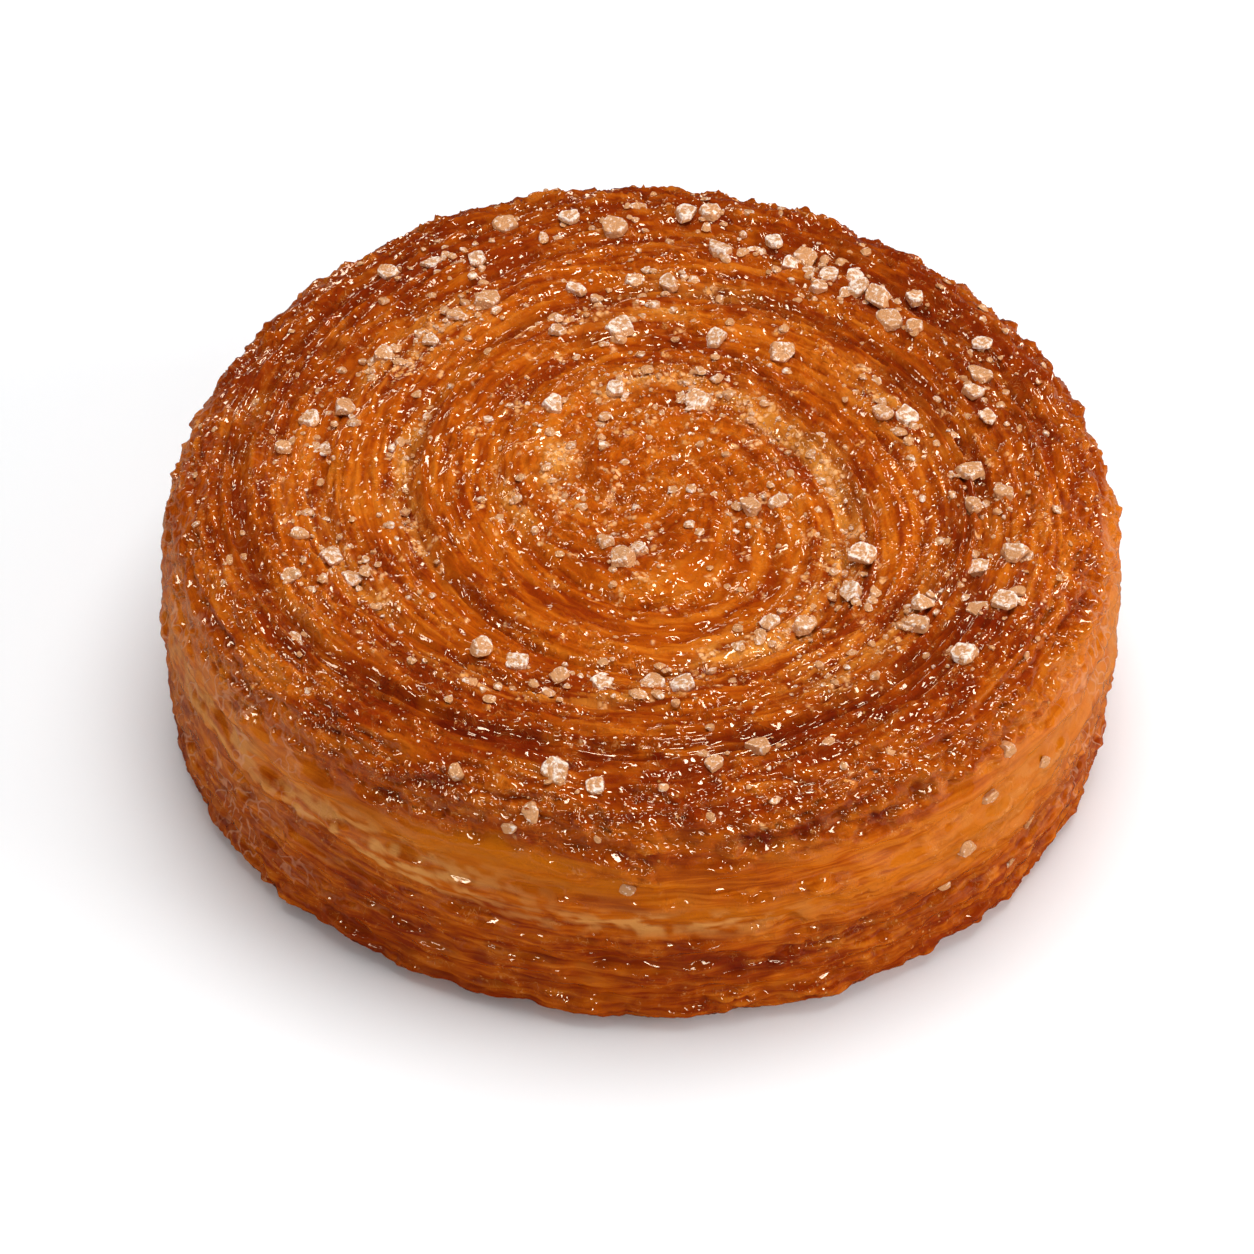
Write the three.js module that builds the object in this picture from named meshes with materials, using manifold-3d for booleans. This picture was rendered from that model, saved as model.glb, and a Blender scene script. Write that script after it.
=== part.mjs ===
// Kouign amann: a round of laminated dough, rolled up as a spiral, baked in caramel and
// strewn with coarse sugar. One solid: the round with its relief, and the larger sugar
// crystals fused to it.
//
// Millimetres, +Z up. The origin is the middle of the flat underside, and -Y is the front.

import * as THREE from "three";
import { mergeVertices } from "three/addons/utils/BufferGeometryUtils.js";
import Module from "manifold-3d";

const wasm = await Module();
wasm.setup();

// --- Driving dimensions -------------------------------------------------------------

const ACROSS = 100; // over the belly of the side
const HEIGHT = 32; // at the middle of the top, without sugar
const RADIUS = ACROSS / 2;

const TOP_CROWN = 1.6; // how much lower the top is at the shoulder than in the middle
const SHOULDER = 7; // radius of the round shoulder between top and side
const UPPER_INSET = 0.5; // how far the side draws in from its belly up to the shoulder
const LOWER_INSET = 0.8; // and from its belly down to the foot
const BELLY_HEIGHT = 14; // where the side is widest
const FOOT_ROUND = 3.2; // radius of the edge between side and underside

// The dough strip is folded in two and rolled up, so two arms wind outwards together,
// clockwise seen from above.
const ROLL_PITCH = 18; // how far one arm moves out in a full turn
const ROLL_PHASE = 0.139; // turns
const ROLL_MIDDLE = new THREE.Vector2(1, -2); // the roll's tight middle, off the round's own
const ROLL_SLIP = 0.48; // turns by which the inner turns have slipped out towards the front right
const SLIP_TOWARDS = THREE.MathUtils.degToRad(-72);
const MAIN_CLEFT = { depth: 1.0, width: 1.15 }; // between two turns of the roll
const FOLD_CLEFT = { depth: 0.5, width: 0.95 }; // between the two arms of one turn
const ARM_CROWN = 0.35; // how much the middle of an arm stands up
const ARM_TILT = 0.6; // how much an arm's outer edge overtops the next arm's inner edge
const PLAIN_CENTRE = 4; // the roll's tight middle, where the clefts fade

const PLY_PITCH = 5.2; // height of one swelling band of layers on the side
const PLY_SWELL = 0.32;
const BLISTER = 0.3; // height of the small bumps over the crust
const BEAD = 0.4; // height of the caramel beads round the foot
const BEADS = 13; // pairs of them, unevenly spaced

const SEGMENTS = 96; // round a full ring
const RING_STEP = 1.4; // between rings on the top
const SIDE_RINGS = 10;

// The larger sugar crystals lie in rows that follow the roll. A row has its two ends, in
// degrees, the radius of its middle line, its width and its number of crystals.
const SUGAR_ROWS = [
  { from: 56, to: 84, radius: 38.8, width: 6, count: 8 },
  { from: 36, to: 58, radius: 37, width: 7, count: 7 },
  { from: 11, to: 30, radius: 39, width: 6, count: 4 },
  { from: 12, to: 20, radius: 27.7, width: 3, count: 2 },
  { from: -11, to: -1, radius: 35.5, width: 5, count: 3 },
  { from: -44, to: -16, radius: 38.5, width: 8, count: 7 },
  { from: -66, to: -30, radius: 28.5, width: 5, count: 4 },
  { from: -128, to: -79, radius: 31.8, width: 1.5, count: 6 },
  { from: -112, to: -62, radius: 41.5, width: 7, count: 4 },
  { from: -166, to: -145, radius: 37.5, width: 11, count: 5 },
  { from: 160, to: 178, radius: 34, width: 10, count: 4 },
  { from: 128, to: 150, radius: 31, width: 3, count: 3 },
  { from: 88, to: 132, radius: 40.5, width: 6, count: 7 },
  { from: 72, to: 124, radius: 30.5, width: 3, count: 4 },
  { from: 48, to: 128, radius: 22.5, width: 2, count: 4 },
  { from: -110, to: -88, radius: 14.5, width: 5, count: 3 },
  { from: -36, to: -20, radius: 13, width: 5, count: 2 },
  { from: 56, to: 150, radius: 12, width: 4, count: 3 },
];
const CRYSTAL_ACROSS = { least: 2.0, most: 3.0 };
const CRYSTAL_TILT = 0.5; // largest lean of a crystal from lying flat, there and back
const CRYSTAL_GAP = 2.4; // least distance between two crystals' middles
const CRYSTAL_SUNK = 0.22; // share of a crystal's radius by which its middle lies below the crust
const SEED = 28565;

const CRUST_COLOUR = 0xb5651d;

const TURN = 2 * Math.PI;
const clamp = (x, low, high) => Math.min(high, Math.max(low, x));
const smooth = (x) => x * x * (3 - 2 * x);
const ramp = (x, from, to) => smooth(clamp((x - from) / (to - from), 0, 1));

// A linear congruential generator, so that every build strews the same sugar.
function randomFrom(seed) {
  let state = seed >>> 0;
  return () => {
    state = (Math.imul(state, 1664525) + 1013904223) >>> 0;
    return state / 2 ** 32;
  };
}

// --- Form ---------------------------------------------------------------------------

// A hand-rolled round isn't a true circle: the share by which the radius differs.
function outline(angle) {
  const lobes = [
    { count: 2, share: 0.0095, phase: 2.44 },
    { count: 3, share: 0.0085, phase: 1.77 },
    { count: 4, share: 0.0055, phase: -0.8 },
  ];
  return lobes.reduce((sum, lobe) => sum + lobe.share * Math.cos(lobe.count * angle + lobe.phase), 1);
}

const shoulderTop = HEIGHT - TOP_CROWN; // height where the shoulder begins
const shoulderFoot = shoulderTop - SHOULDER; // and where it ends
const topRadius = RADIUS - UPPER_INSET - SHOULDER; // radius where the shoulder begins

// How far the side stands back from its belly at a height.
function sideInset(height) {
  const up = clamp((height - BELLY_HEIGHT) / (shoulderFoot - BELLY_HEIGHT), 0, 1);
  const down = clamp((BELLY_HEIGHT - height) / BELLY_HEIGHT, 0, 1);
  const foot = 1 - clamp(height / FOOT_ROUND, 0, 1);
  return UPPER_INSET * up ** 2 + LOWER_INSET * down ** 2 + FOOT_ROUND * (1 - Math.sqrt(1 - foot ** 2));
}

// The rings of the half section, from the middle of the top to the middle of the underside.
// lean is the surface's slope: 0 where it faces up, a quarter turn where it faces out.
function sectionRings() {
  const rings = [];
  const steps = Math.round(topRadius / RING_STEP);
  for (let i = 1; i <= steps; i++) {
    const share = i / steps;
    rings.push({ radius: topRadius * share, height: HEIGHT - TOP_CROWN * share ** 2, lean: 0, part: "top" });
  }
  const shoulderSteps = 8;
  for (let i = 1; i <= shoulderSteps; i++) {
    const lean = (i / shoulderSteps) * (Math.PI / 2);
    const radius = topRadius + SHOULDER * Math.sin(lean);
    rings.push({ radius, height: shoulderFoot + SHOULDER * Math.cos(lean), lean, part: "side" });
  }
  for (let i = 1; i < SIDE_RINGS; i++) {
    const height = FOOT_ROUND + (shoulderFoot - FOOT_ROUND) * (1 - i / SIDE_RINGS);
    rings.push({ radius: RADIUS - sideInset(height), height, lean: Math.PI / 2, part: "side" });
  }
  for (const share of [1, 0.5, 0.15]) {
    const height = FOOT_ROUND * share;
    rings.push({ radius: RADIUS - sideInset(height), height, lean: Math.PI / 2, part: "side" });
  }
  const footRadius = RADIUS - sideInset(0);
  for (const radius of [footRadius, footRadius / 2, footRadius / 4, footRadius / 8]) {
    rings.push({ radius, height: 0, lean: Math.PI / 2, part: "base" });
  }
  return rings;
}

// How far the roll has slipped at a point, in turns: most at the middle radii, none at the
// tight middle and at the rim.
function slip(radius, angle) {
  const towards = (0.5 + 0.5 * Math.cos(angle - SLIP_TOWARDS)) ** 3;
  return ROLL_SLIP * towards * ramp(radius, 4, 22) * (1 - ramp(radius, 26, 38));
}

// Where a point lies in the roll, in turns from its middle: whole numbers are main clefts,
// halves are the clefts between the two arms.
const rollTurns = (radius, angle) => radius / ROLL_PITCH + angle / TURN + ROLL_PHASE - slip(radius, angle);

function cleft({ depth, width }, away) {
  return -depth * Math.exp(-((away / width) ** 2));
}

// Height of the rolled-up arms above the smooth top, at a point given from the round's middle.
function rollRelief(x, y) {
  const radius = Math.hypot(x - ROLL_MIDDLE.x, y - ROLL_MIDDLE.y);
  const angle = Math.atan2(y - ROLL_MIDDLE.y, x - ROLL_MIDDLE.x);
  const turns = rollTurns(radius, angle) + 1; // never below nought
  const mainAway = (turns - Math.round(turns)) * ROLL_PITCH;
  const foldAway = (turns - 0.5 - Math.round(turns - 0.5)) * ROLL_PITCH;
  const across = (turns * 2) % 1; // from an arm's inner edge to its outer edge
  const crown = ARM_CROWN * Math.sin(Math.PI * across);
  const tilt = ARM_TILT * (smooth(across) - 0.5);
  const open = 0.75 + 0.25 * Math.sin(2 * angle + 0.6); // the clefts gape more in places
  const clefts = open * (cleft(MAIN_CLEFT, mainAway) + cleft(FOLD_CLEFT, foldAway));
  return ramp(radius, 0, PLAIN_CENTRE) * (crown + tilt + clefts);
}

// Bands of layers that swell round the side, never quite level.
function plyRelief(height, angle) {
  const drift = 0.7 * Math.sin(angle + 0.4) + 0.4 * Math.sin(3 * angle + 2);
  return PLY_SWELL * Math.sin((TURN * height) / PLY_PITCH + drift);
}

// Small bumps of crust and caramel, as waves that cross.
function blisters(angle, along) {
  const slow = Math.sin(19 * angle + 1.1 * along) * Math.cos(0.8 * along + 3 * angle);
  const quick = Math.sin(31 * angle - 1.7 * along + 2 * Math.sin(5 * angle));
  return BLISTER * (0.6 * slow + 0.4 * quick);
}

// Caramel that ran down and set in beads round the foot.
const beadRelief = (angle) => BEAD * Math.abs(Math.sin(BEADS * angle + 2 * Math.sin(3 * angle)));

function relief(ring, angle) {
  if (ring.part === "base") return 0;
  const along = ring.part === "top" ? ring.radius : topRadius + (shoulderTop - ring.height);
  const onTop = 1 - ramp(ring.lean, 0, 1.2);
  const rolled = onTop * rollRelief(ring.radius * Math.cos(angle), ring.radius * Math.sin(angle));
  const plied = ring.part === "side" ? plyRelief(ring.height, angle) * ramp(ring.lean, 0.6, 1.4) : 0;
  const bead = beadRelief(angle) * (1 - ramp(ring.height, 1, 6));
  const rough = blisters(angle, along) * ramp(ring.radius, 4, 16);
  const settled = ramp(ring.height, 0, 2); // the relief dies out into the flat underside
  return (rolled + plied + rough + bead) * settled;
}

function surfacePoint(ring, angle) {
  const rise = relief(ring, angle);
  const radius = (ring.radius + rise * Math.sin(ring.lean)) * outline(angle);
  const height = ring.height + rise * Math.cos(ring.lean);
  return new THREE.Vector3(radius * Math.cos(angle), radius * Math.sin(angle), height);
}

// --- The round ----------------------------------------------------------------------

// Fewer segments on the small rings keep the faces of one size.
function segmentsAt(radius) {
  let segments = SEGMENTS;
  for (let limit = RADIUS / 2; radius < limit && segments > 12; limit /= 2) segments /= 2;
  return segments;
}

function roundGeometry() {
  const positions = [];
  const faces = [];
  const put = (point) => positions.push(point.x, point.y, point.z) / 3 - 1;
  const centre = (height) => put(new THREE.Vector3(0, 0, height));

  const rings = sectionRings().map((ring) => {
    const count = segmentsAt(ring.radius);
    const points = Array.from({ length: count }, (_, i) => put(surfacePoint(ring, (TURN * i) / count)));
    return { count, points };
  });

  const topCentre = centre(HEIGHT);
  const first = rings[0];
  for (let i = 0; i < first.count; i++) {
    faces.push(topCentre, first.points[i], first.points[(i + 1) % first.count]);
  }
  for (let k = 0; k + 1 < rings.length; k++) stitch(rings[k], rings[k + 1], faces);
  const last = rings.at(-1);
  const baseCentre = centre(0);
  for (let i = 0; i < last.count; i++) {
    faces.push(baseCentre, last.points[(i + 1) % last.count], last.points[i]);
  }

  const geometry = new THREE.BufferGeometry();
  geometry.setAttribute("position", new THREE.Float32BufferAttribute(positions, 3));
  geometry.setIndex(faces);
  return geometry;
}

// Joins a ring to the one outside or below it. One may have twice the segments of the other.
function stitch(inner, outer, faces) {
  const [coarse, fine] = inner.count <= outer.count ? [inner, outer] : [outer, inner];
  const outward = coarse === inner;
  const add = (a, b, c) => (outward ? faces.push(a, b, c) : faces.push(a, c, b));
  const ratio = fine.count / coarse.count;
  for (let i = 0; i < coarse.count; i++) {
    const here = coarse.points[i];
    const next = coarse.points[(i + 1) % coarse.count];
    const far = Array.from({ length: ratio + 1 }, (_, j) => fine.points[(i * ratio + j) % fine.count]);
    add(here, far[0], far[1]);
    if (ratio === 2) {
      add(here, far[1], next);
      add(next, far[1], far[2]);
    } else {
      add(here, far[1], next);
    }
  }
}

// --- Sugar --------------------------------------------------------------------------

// Middles and sizes of the crystals. Each has its own stretch of its row, and lies in it by
// chance but clear of the others.
function spreadCrystals() {
  const random = randomFrom(SEED);
  const crystals = [];
  for (const row of SUGAR_ROWS) {
    const stretch = (row.to - row.from) / row.count;
    for (let i = 0; i < row.count; ) {
      const angle = THREE.MathUtils.degToRad(row.from + stretch * (i + random()));
      const radius = row.radius + row.width * (random() - 0.5);
      const across = CRYSTAL_ACROSS.least + (CRYSTAL_ACROSS.most - CRYSTAL_ACROSS.least) * random() ** 1.5;
      const lean = () => CRYSTAL_TILT * (random() - 0.5);
      const turn = new THREE.Euler(lean(), lean(), TURN * random());
      const x = radius * Math.cos(angle);
      const y = radius * Math.sin(angle);
      if (crystals.every((other) => Math.hypot(other.x - x, other.y - y) > CRYSTAL_GAP)) {
        crystals.push({ x, y, radius, angle, across, turn });
        i++;
      }
    }
  }
  return crystals;
}

// The crust's height under a point of the top or the shoulder.
function crustHeight(radius, angle) {
  const plain = radius / outline(angle);
  if (plain <= topRadius) {
    const share = plain / topRadius;
    const ring = { radius: plain, height: HEIGHT - TOP_CROWN * share ** 2, lean: 0, part: "top" };
    return surfacePoint(ring, angle).z;
  }
  const lean = Math.asin(clamp((plain - topRadius) / SHOULDER, 0, 1));
  const ring = { radius: plain, height: shoulderFoot + SHOULDER * Math.cos(lean), lean, part: "side" };
  return surfacePoint(ring, angle).z;
}

// A chip of sugar: faceted, flat and lying nearly level.
function crystalGeometry({ x, y, radius, angle, across, turn }) {
  const geometry = new THREE.IcosahedronGeometry(across / 2, 0);
  geometry.scale(1.1, 1, 0.62);
  geometry.applyMatrix4(new THREE.Matrix4().makeRotationFromEuler(turn));
  geometry.translate(x, y, crustHeight(radius, angle) + (across / 2) * (0.5 - CRYSTAL_SUNK));
  return geometry;
}

// --- Joining ------------------------------------------------------------------------

function toSolid(geometry) {
  const bare = geometry.index ? geometry.toNonIndexed() : geometry.clone();
  bare.deleteAttribute("normal");
  bare.deleteAttribute("uv");
  const merged = mergeVertices(bare, 1e-4);
  return new wasm.Manifold(
    new wasm.Mesh({
      numProp: 3,
      vertProperties: merged.attributes.position.array,
      triVerts: new Uint32Array(merged.index.array),
    }),
  );
}

function toGeometry(solid) {
  const mesh = solid.getMesh();
  const geometry = new THREE.BufferGeometry();
  geometry.setAttribute("position", new THREE.BufferAttribute(mesh.vertProperties, 3));
  geometry.setIndex(new THREE.BufferAttribute(mesh.triVerts, 1));
  geometry.computeVertexNormals();
  return geometry;
}

function pastryGeometry() {
  let pastry = toSolid(roundGeometry());
  for (const crystal of spreadCrystals()) pastry = pastry.add(toSolid(crystalGeometry(crystal)));
  const geometry = toGeometry(pastry);
  geometry.computeBoundingBox();
  const middle = geometry.boundingBox.getCenter(new THREE.Vector3());
  return geometry.translate(-middle.x, -middle.y, -geometry.boundingBox.min.z);
}

const crust = new THREE.MeshStandardMaterial({ color: CRUST_COLOUR, roughness: 0.35, metalness: 0 });
const pastry = new THREE.Mesh(pastryGeometry(), crust);
pastry.name = "pastry";

const kouignAmann = new THREE.Group();
kouignAmann.name = "kouign_amann";
kouignAmann.add(pastry);

export default kouignAmann;
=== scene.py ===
# %% [markdown]
# # A kouign amann in Blender
# A kouign amann is bread dough folded with butter and sugar, rolled up and baked in a ring
# until the sugar turns to caramel. What we see is one lump: a glossy, wrinkled crust wound
# as a spiral, with coarse sugar baked onto it. So there are two kinds of piece to make: the
# crust, as one closed mesh whose relief is worked out point by point, and the sugar, as
# joined meshes of many small lumps.
# We work in millimetres, because a baker does, and turn them into metres in the last step.

# %% Load the solid that everything is built around
import itertools
import math

import bmesh
import bpy
import numpy as np
from mathutils import Matrix, Vector


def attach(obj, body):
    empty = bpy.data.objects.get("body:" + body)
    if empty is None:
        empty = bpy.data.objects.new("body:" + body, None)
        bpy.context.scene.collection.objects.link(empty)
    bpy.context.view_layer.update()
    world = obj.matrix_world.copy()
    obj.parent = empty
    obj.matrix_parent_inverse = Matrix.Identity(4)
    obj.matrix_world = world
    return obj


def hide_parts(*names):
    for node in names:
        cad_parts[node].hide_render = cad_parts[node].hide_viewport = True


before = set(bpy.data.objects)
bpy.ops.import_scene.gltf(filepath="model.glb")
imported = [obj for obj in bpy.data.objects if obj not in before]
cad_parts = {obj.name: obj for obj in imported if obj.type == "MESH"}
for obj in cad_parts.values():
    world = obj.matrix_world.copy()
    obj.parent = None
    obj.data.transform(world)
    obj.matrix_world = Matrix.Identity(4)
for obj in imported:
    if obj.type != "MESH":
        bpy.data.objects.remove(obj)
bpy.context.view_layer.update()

MM = 0.001
TURN = 2 * math.pi


# %% [markdown]
# ## Tools for shaping
# A *ramp* goes softly from 0 to 1 between two values, and it blends one part of the pastry
# into the next. *Noise* is a smooth random field, and folding it up gives *ridges*, as in
# shrunken caramel. *Spots* are strewn one to a cell of space, for bubbles, flakes and bumps.
# Blender has noise of its own, but only one point at a time from Python, so we write it for
# whole arrays. The third axis can repeat, which lets a pattern follow the spiral round and
# meet itself without a seam.

# %% Ramp and noise for whole arrays of points
def ramp(value, start, end):
    share = np.clip((value - start) / (end - start), 0, 1)
    return share * share * (3 - 2 * share)


def scramble(x, y, z):
    """A whole number that looks random for each cell of a cubic lattice."""
    mixed = x.astype(np.uint32) * np.uint32(73856093)
    mixed ^= y.astype(np.uint32) * np.uint32(19349663)
    mixed ^= z.astype(np.uint32) * np.uint32(83492791)
    mixed = (mixed ^ (mixed >> np.uint32(13))) * np.uint32(1274126177)
    return mixed ^ (mixed >> np.uint32(16))


NOISE_GAIN = 1.6  # brings the sum of slopes to about -1 to 1
RIDGE_FALL = 1.8  # how steeply a crest falls away
SLOPES = 256
slopes = np.random.default_rng(3).normal(size=(SLOPES, 3))
slopes /= np.linalg.norm(slopes, axis=1)[:, None]


def noise(x, y, z, period=0):
    """Gradient noise, about -1 to 1. With a period it repeats after that many cells of z."""
    cell = [np.floor(axis).astype(np.int64) for axis in (x, y, z)]
    inside = [axis - whole for axis, whole in zip((x, y, z), cell)]
    weight = [f * f * f * (f * (f * 6 - 15) + 10) for f in inside]
    total = np.zeros_like(x)
    for corner in itertools.product((0, 1), repeat=3):
        at = [whole + step for whole, step in zip(cell, corner)]
        if period:
            at[2] = at[2] % period
        slope = slopes[scramble(*at) & np.uint32(SLOPES - 1)]
        height = sum(slope[:, k] * (inside[k] - corner[k]) for k in range(3))
        share = np.ones_like(x)
        for k in range(3):
            share = share * (weight[k] if corner[k] else 1 - weight[k])
        total += share * height
    return NOISE_GAIN * total


# %% Ridges and spots
def ridges(x, y, z, period=0):
    """Noise folded up, so that it has sharp crests: 1 on a crest, towards 0 between them."""
    return 1 - np.clip(np.abs(noise(x, y, z, period)) * RIDGE_FALL, 0, 1)


PLACES = 1023  # steps over which a spot is placed in its cell, ten bits for an axis
CHANCES = 997


def nearest_spot(x, y, z, period=0):
    """Distance to the nearest of spots strewn one to a cell, that spot's own chance number,
    and how far a point lies past it along the third axis."""
    cell = [np.floor(axis).astype(np.int64) for axis in (x, y, z)]
    inside = [axis - whole for axis, whole in zip((x, y, z), cell)]
    least = np.full_like(x, 9.0)
    chance, past = np.zeros_like(x), np.zeros_like(x)
    for step in itertools.product((-1, 0, 1), repeat=3):
        at = [whole + move for whole, move in zip(cell, step)]
        if period:
            at[2] = at[2] % period
        mixed = scramble(*at)
        away = np.zeros_like(x)
        for k in range(3):
            place = ((mixed >> np.uint32(10 * k)) & np.uint32(PLACES)) / PLACES
            gone = inside[k] - step[k] - place
            away += gone**2
        away = np.sqrt(away)
        closer = away < least
        least = np.where(closer, away, least)
        chance = np.where(closer, (mixed % np.uint32(CHANCES)) / CHANCES, chance)
        past = np.where(closer, gone, past)
    return least, chance, past


# %% [markdown]
# ## The form of the round
# The round has the sizes of the solid: a low crown, a round shoulder, a side with a slight
# belly and a small round foot. A point on it is given by how far it lies from the middle of
# the top, measured along the surface outwards and down, and by its angle. That pair is all
# that every later step needs, for the crust and for the sugar that lies on it.

# %% Sizes of the round
RADIUS = 50
HEIGHT = 32
TOP_CROWN = 1.6
SHOULDER = 7
UPPER_INSET = 0.5
LOWER_INSET = 0.8
BELLY_HEIGHT = 14
FOOT_ROUND = 3.2
LOBES = [(2, 0.0095, 2.44), (3, 0.0085, 1.77), (4, 0.0055, -0.8)]  # count, share and phase
SHIFT = np.array([0.038, -0.424, 0])  # the solid's box is centred, and its round's middle is here

TOP_ENDS = (0.7, 1.4)  # leans, in radians, between which the top gives way to the side
RIM = (24, 43)  # radii between which the crust gets darker and craggier

shoulder_top = HEIGHT - TOP_CROWN
shoulder_foot = shoulder_top - SHOULDER
top_radius = RADIUS - UPPER_INSET - SHOULDER
shoulder_end = top_radius + SHOULDER * math.pi / 2
foot_start = shoulder_end + shoulder_foot - FOOT_ROUND
foot_end = foot_start + FOOT_ROUND * math.pi / 2


# %% Its outline and its half section
def outline(angle):
    return 1 + sum(share * np.cos(count * angle + phase) for count, share, phase in LOBES)


def side_inset(height):
    up = np.clip((height - BELLY_HEIGHT) / (shoulder_foot - BELLY_HEIGHT), 0, 1)
    down = np.clip((BELLY_HEIGHT - height) / BELLY_HEIGHT, 0, 1)
    foot = 1 - np.clip(height / FOOT_ROUND, 0, 1)
    return UPPER_INSET * up**2 + LOWER_INSET * down**2 + FOOT_ROUND * (1 - np.sqrt(1 - foot**2))


def section(along):
    """Radius, height and lean of the smooth round at a distance along its half section."""
    lean = np.clip((along - top_radius) / SHOULDER, 0, math.pi / 2)
    foot = np.clip((along - foot_start) / FOOT_ROUND, 0, math.pi / 2)
    side_height = np.where(
        along < foot_start,
        shoulder_foot - (along - shoulder_end),
        FOOT_ROUND * (1 - np.sin(foot)),
    )
    on_top, on_side = along < top_radius, along >= shoulder_end
    radius = np.where(on_top, along, top_radius + SHOULDER * np.sin(lean))
    radius = np.where(on_side, RADIUS - side_inset(side_height), radius)
    height = np.where(
        on_top,
        HEIGHT - TOP_CROWN * (along / top_radius) ** 2,
        shoulder_foot + SHOULDER * np.cos(lean),
    )
    return radius, np.where(on_side, side_height, height), lean


print(f"the half section is {foot_end:.1f} mm long")


# %% [markdown]
# ## The roll
# Two arms of dough wind outwards together. Counting *turns* outwards along the spiral gives
# every point its place in the roll: whole numbers are the deep clefts between two turns, and
# halves are the clefts between the arms. The solid has this relief too, with the same numbers
# but for the clefts, which are shallower and narrower here, as fine relief lies in them. While
# it proved, the roll slipped: its inner turns bulge towards the front right.

# %% The roll's turns, and its relief that the solid shares
ROLL_PITCH = 18
ROLL_PHASE = 0.139
ROLL_MIDDLE = (1, -2)
ROLL_SLIP = 0.48
SLIP_TOWARDS = math.radians(-72)
MAIN_CLEFT = (0.7, 0.75)  # depth and width
FOLD_CLEFT = (0.35, 0.7)
ARM_CROWN = 0.35
ARM_TILT = 0.6
PLAIN_CENTRE = 4
SLIP_GROWS = (4, 22)
SLIP_FADES = (26, 38)


def roll_place(x, y):
    """Radius and angle about the roll's own middle, and turns outwards along the roll."""
    radius = np.hypot(x - ROLL_MIDDLE[0], y - ROLL_MIDDLE[1])
    angle = np.arctan2(y - ROLL_MIDDLE[1], x - ROLL_MIDDLE[0])
    towards = (0.5 + 0.5 * np.cos(angle - SLIP_TOWARDS)) ** 3
    slip = ROLL_SLIP * towards * ramp(radius, *SLIP_GROWS) * (1 - ramp(radius, *SLIP_FADES))
    return radius, angle, radius / ROLL_PITCH + angle / TURN + ROLL_PHASE - slip


def cleft(size, away):
    depth, width = size
    return -depth * np.exp(-((away / width) ** 2))


def roll_relief(x, y):
    radius, angle, turns = roll_place(x, y)
    main_away = (turns - np.round(turns)) * ROLL_PITCH
    fold_away = (turns - 0.5 - np.round(turns - 0.5)) * ROLL_PITCH
    across = (turns * 2) % 1
    crown = ARM_CROWN * np.sin(math.pi * across)
    tilt = ARM_TILT * (ramp(across, 0, 1) - 0.5)
    gape = 0.75 + 0.25 * np.sin(2 * angle + 0.6)
    clefts = gape * (cleft(MAIN_CLEFT, main_away) + cleft(FOLD_CLEFT, fold_away))
    return ramp(radius, 0, PLAIN_CENTRE) * (crown + tilt + clefts)


# %% The broad relief of the side and the foot
PLY_PITCH = 5.2
PLY_SWELL = 0.32
BLISTER = 0.3
BEAD = 0.4
BEADS = 13


def broad_relief(along, angle):
    """The relief that the solid has: the roll, bands of layers, blisters and foot beads."""
    radius, height, lean = section(along)
    rolled = roll_relief(radius * np.cos(angle), radius * np.sin(angle))
    rolled *= 1 - ramp(lean, 0, 1.2)
    drift = 0.7 * np.sin(angle + 0.4) + 0.4 * np.sin(3 * angle + 2)
    plied = PLY_SWELL * np.sin(TURN * height / PLY_PITCH + drift) * ramp(lean, 0.6, 1.4)
    down = np.where(along < top_radius, radius, top_radius + shoulder_top - height)
    slow = np.sin(19 * angle + 1.1 * down) * np.cos(0.8 * down + 3 * angle)
    quick = np.sin(31 * angle - 1.7 * down + 2 * np.sin(5 * angle))
    blisters = BLISTER * (0.6 * slow + 0.4 * quick) * ramp(radius, 4, 16)
    bead = BEAD * np.abs(np.sin(BEADS * angle + 2 * np.sin(3 * angle))) * (1 - ramp(height, 1, 6))
    return (rolled + plied + blisters + bead) * ramp(height, 0, 2)


# %% [markdown]
# ## Leaves, strands and crags
# The fine relief is what makes it caramelised pastry and not cake. On the top, the leaves of
# dough stand on edge, fifteen to a turn, and each overtops the next like a worn shingle. The
# caramel over them has shrunk into strands that run along the roll. Towards the rim it
# foamed up in crags and bubbles. On the side, which stood against the ring, the film of
# caramel is drawn out smooth and level above a torn edge, and below it the bare layers show,
# with small bumps of caramel on both. All of it is displacement of real points, so that the
# outline and the shadows have it too. In these formulas, a number that divides a place is a
# size in millimetres, a number by which a term is multiplied is its height in millimetres, and
# one added to a place only moves a pattern, so that no two are alike.

# %% Streaks along the roll
GOLDEN = [  # angles from and to in degrees, radii there, width, strength
    (112, 20, 12.2, 15.7, 1.7, 1.0),
    (20, -36, 15.7, 25.0, 2.0, 1.0),
    (-36, -84, 25.0, 30.5, 1.8, 0.9),
    (206, 163, 26.0, 24.0, 1.3, 0.9),
    (224, 158, 9.3, 8.6, 1.3, 0.9),
    (215, 193, 14.7, 15.0, 1.0, 0.6),
    (150, 127, 31.0, 31.0, 2.4, 0.8),
    (112, 84, 24.0, 23.5, 1.4, 0.7),
    (86, 66, 29.5, 28.0, 1.5, 0.6),
    (32, 10, 27.0, 29.0, 2.0, 0.7),
    (-38, -60, 34.0, 35.0, 2.4, 0.8),
    (-80, -132, 32.0, 37.0, 1.0, 0.6),
    (218, 192, 33.0, 34.0, 1.5, 0.5),
]
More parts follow.
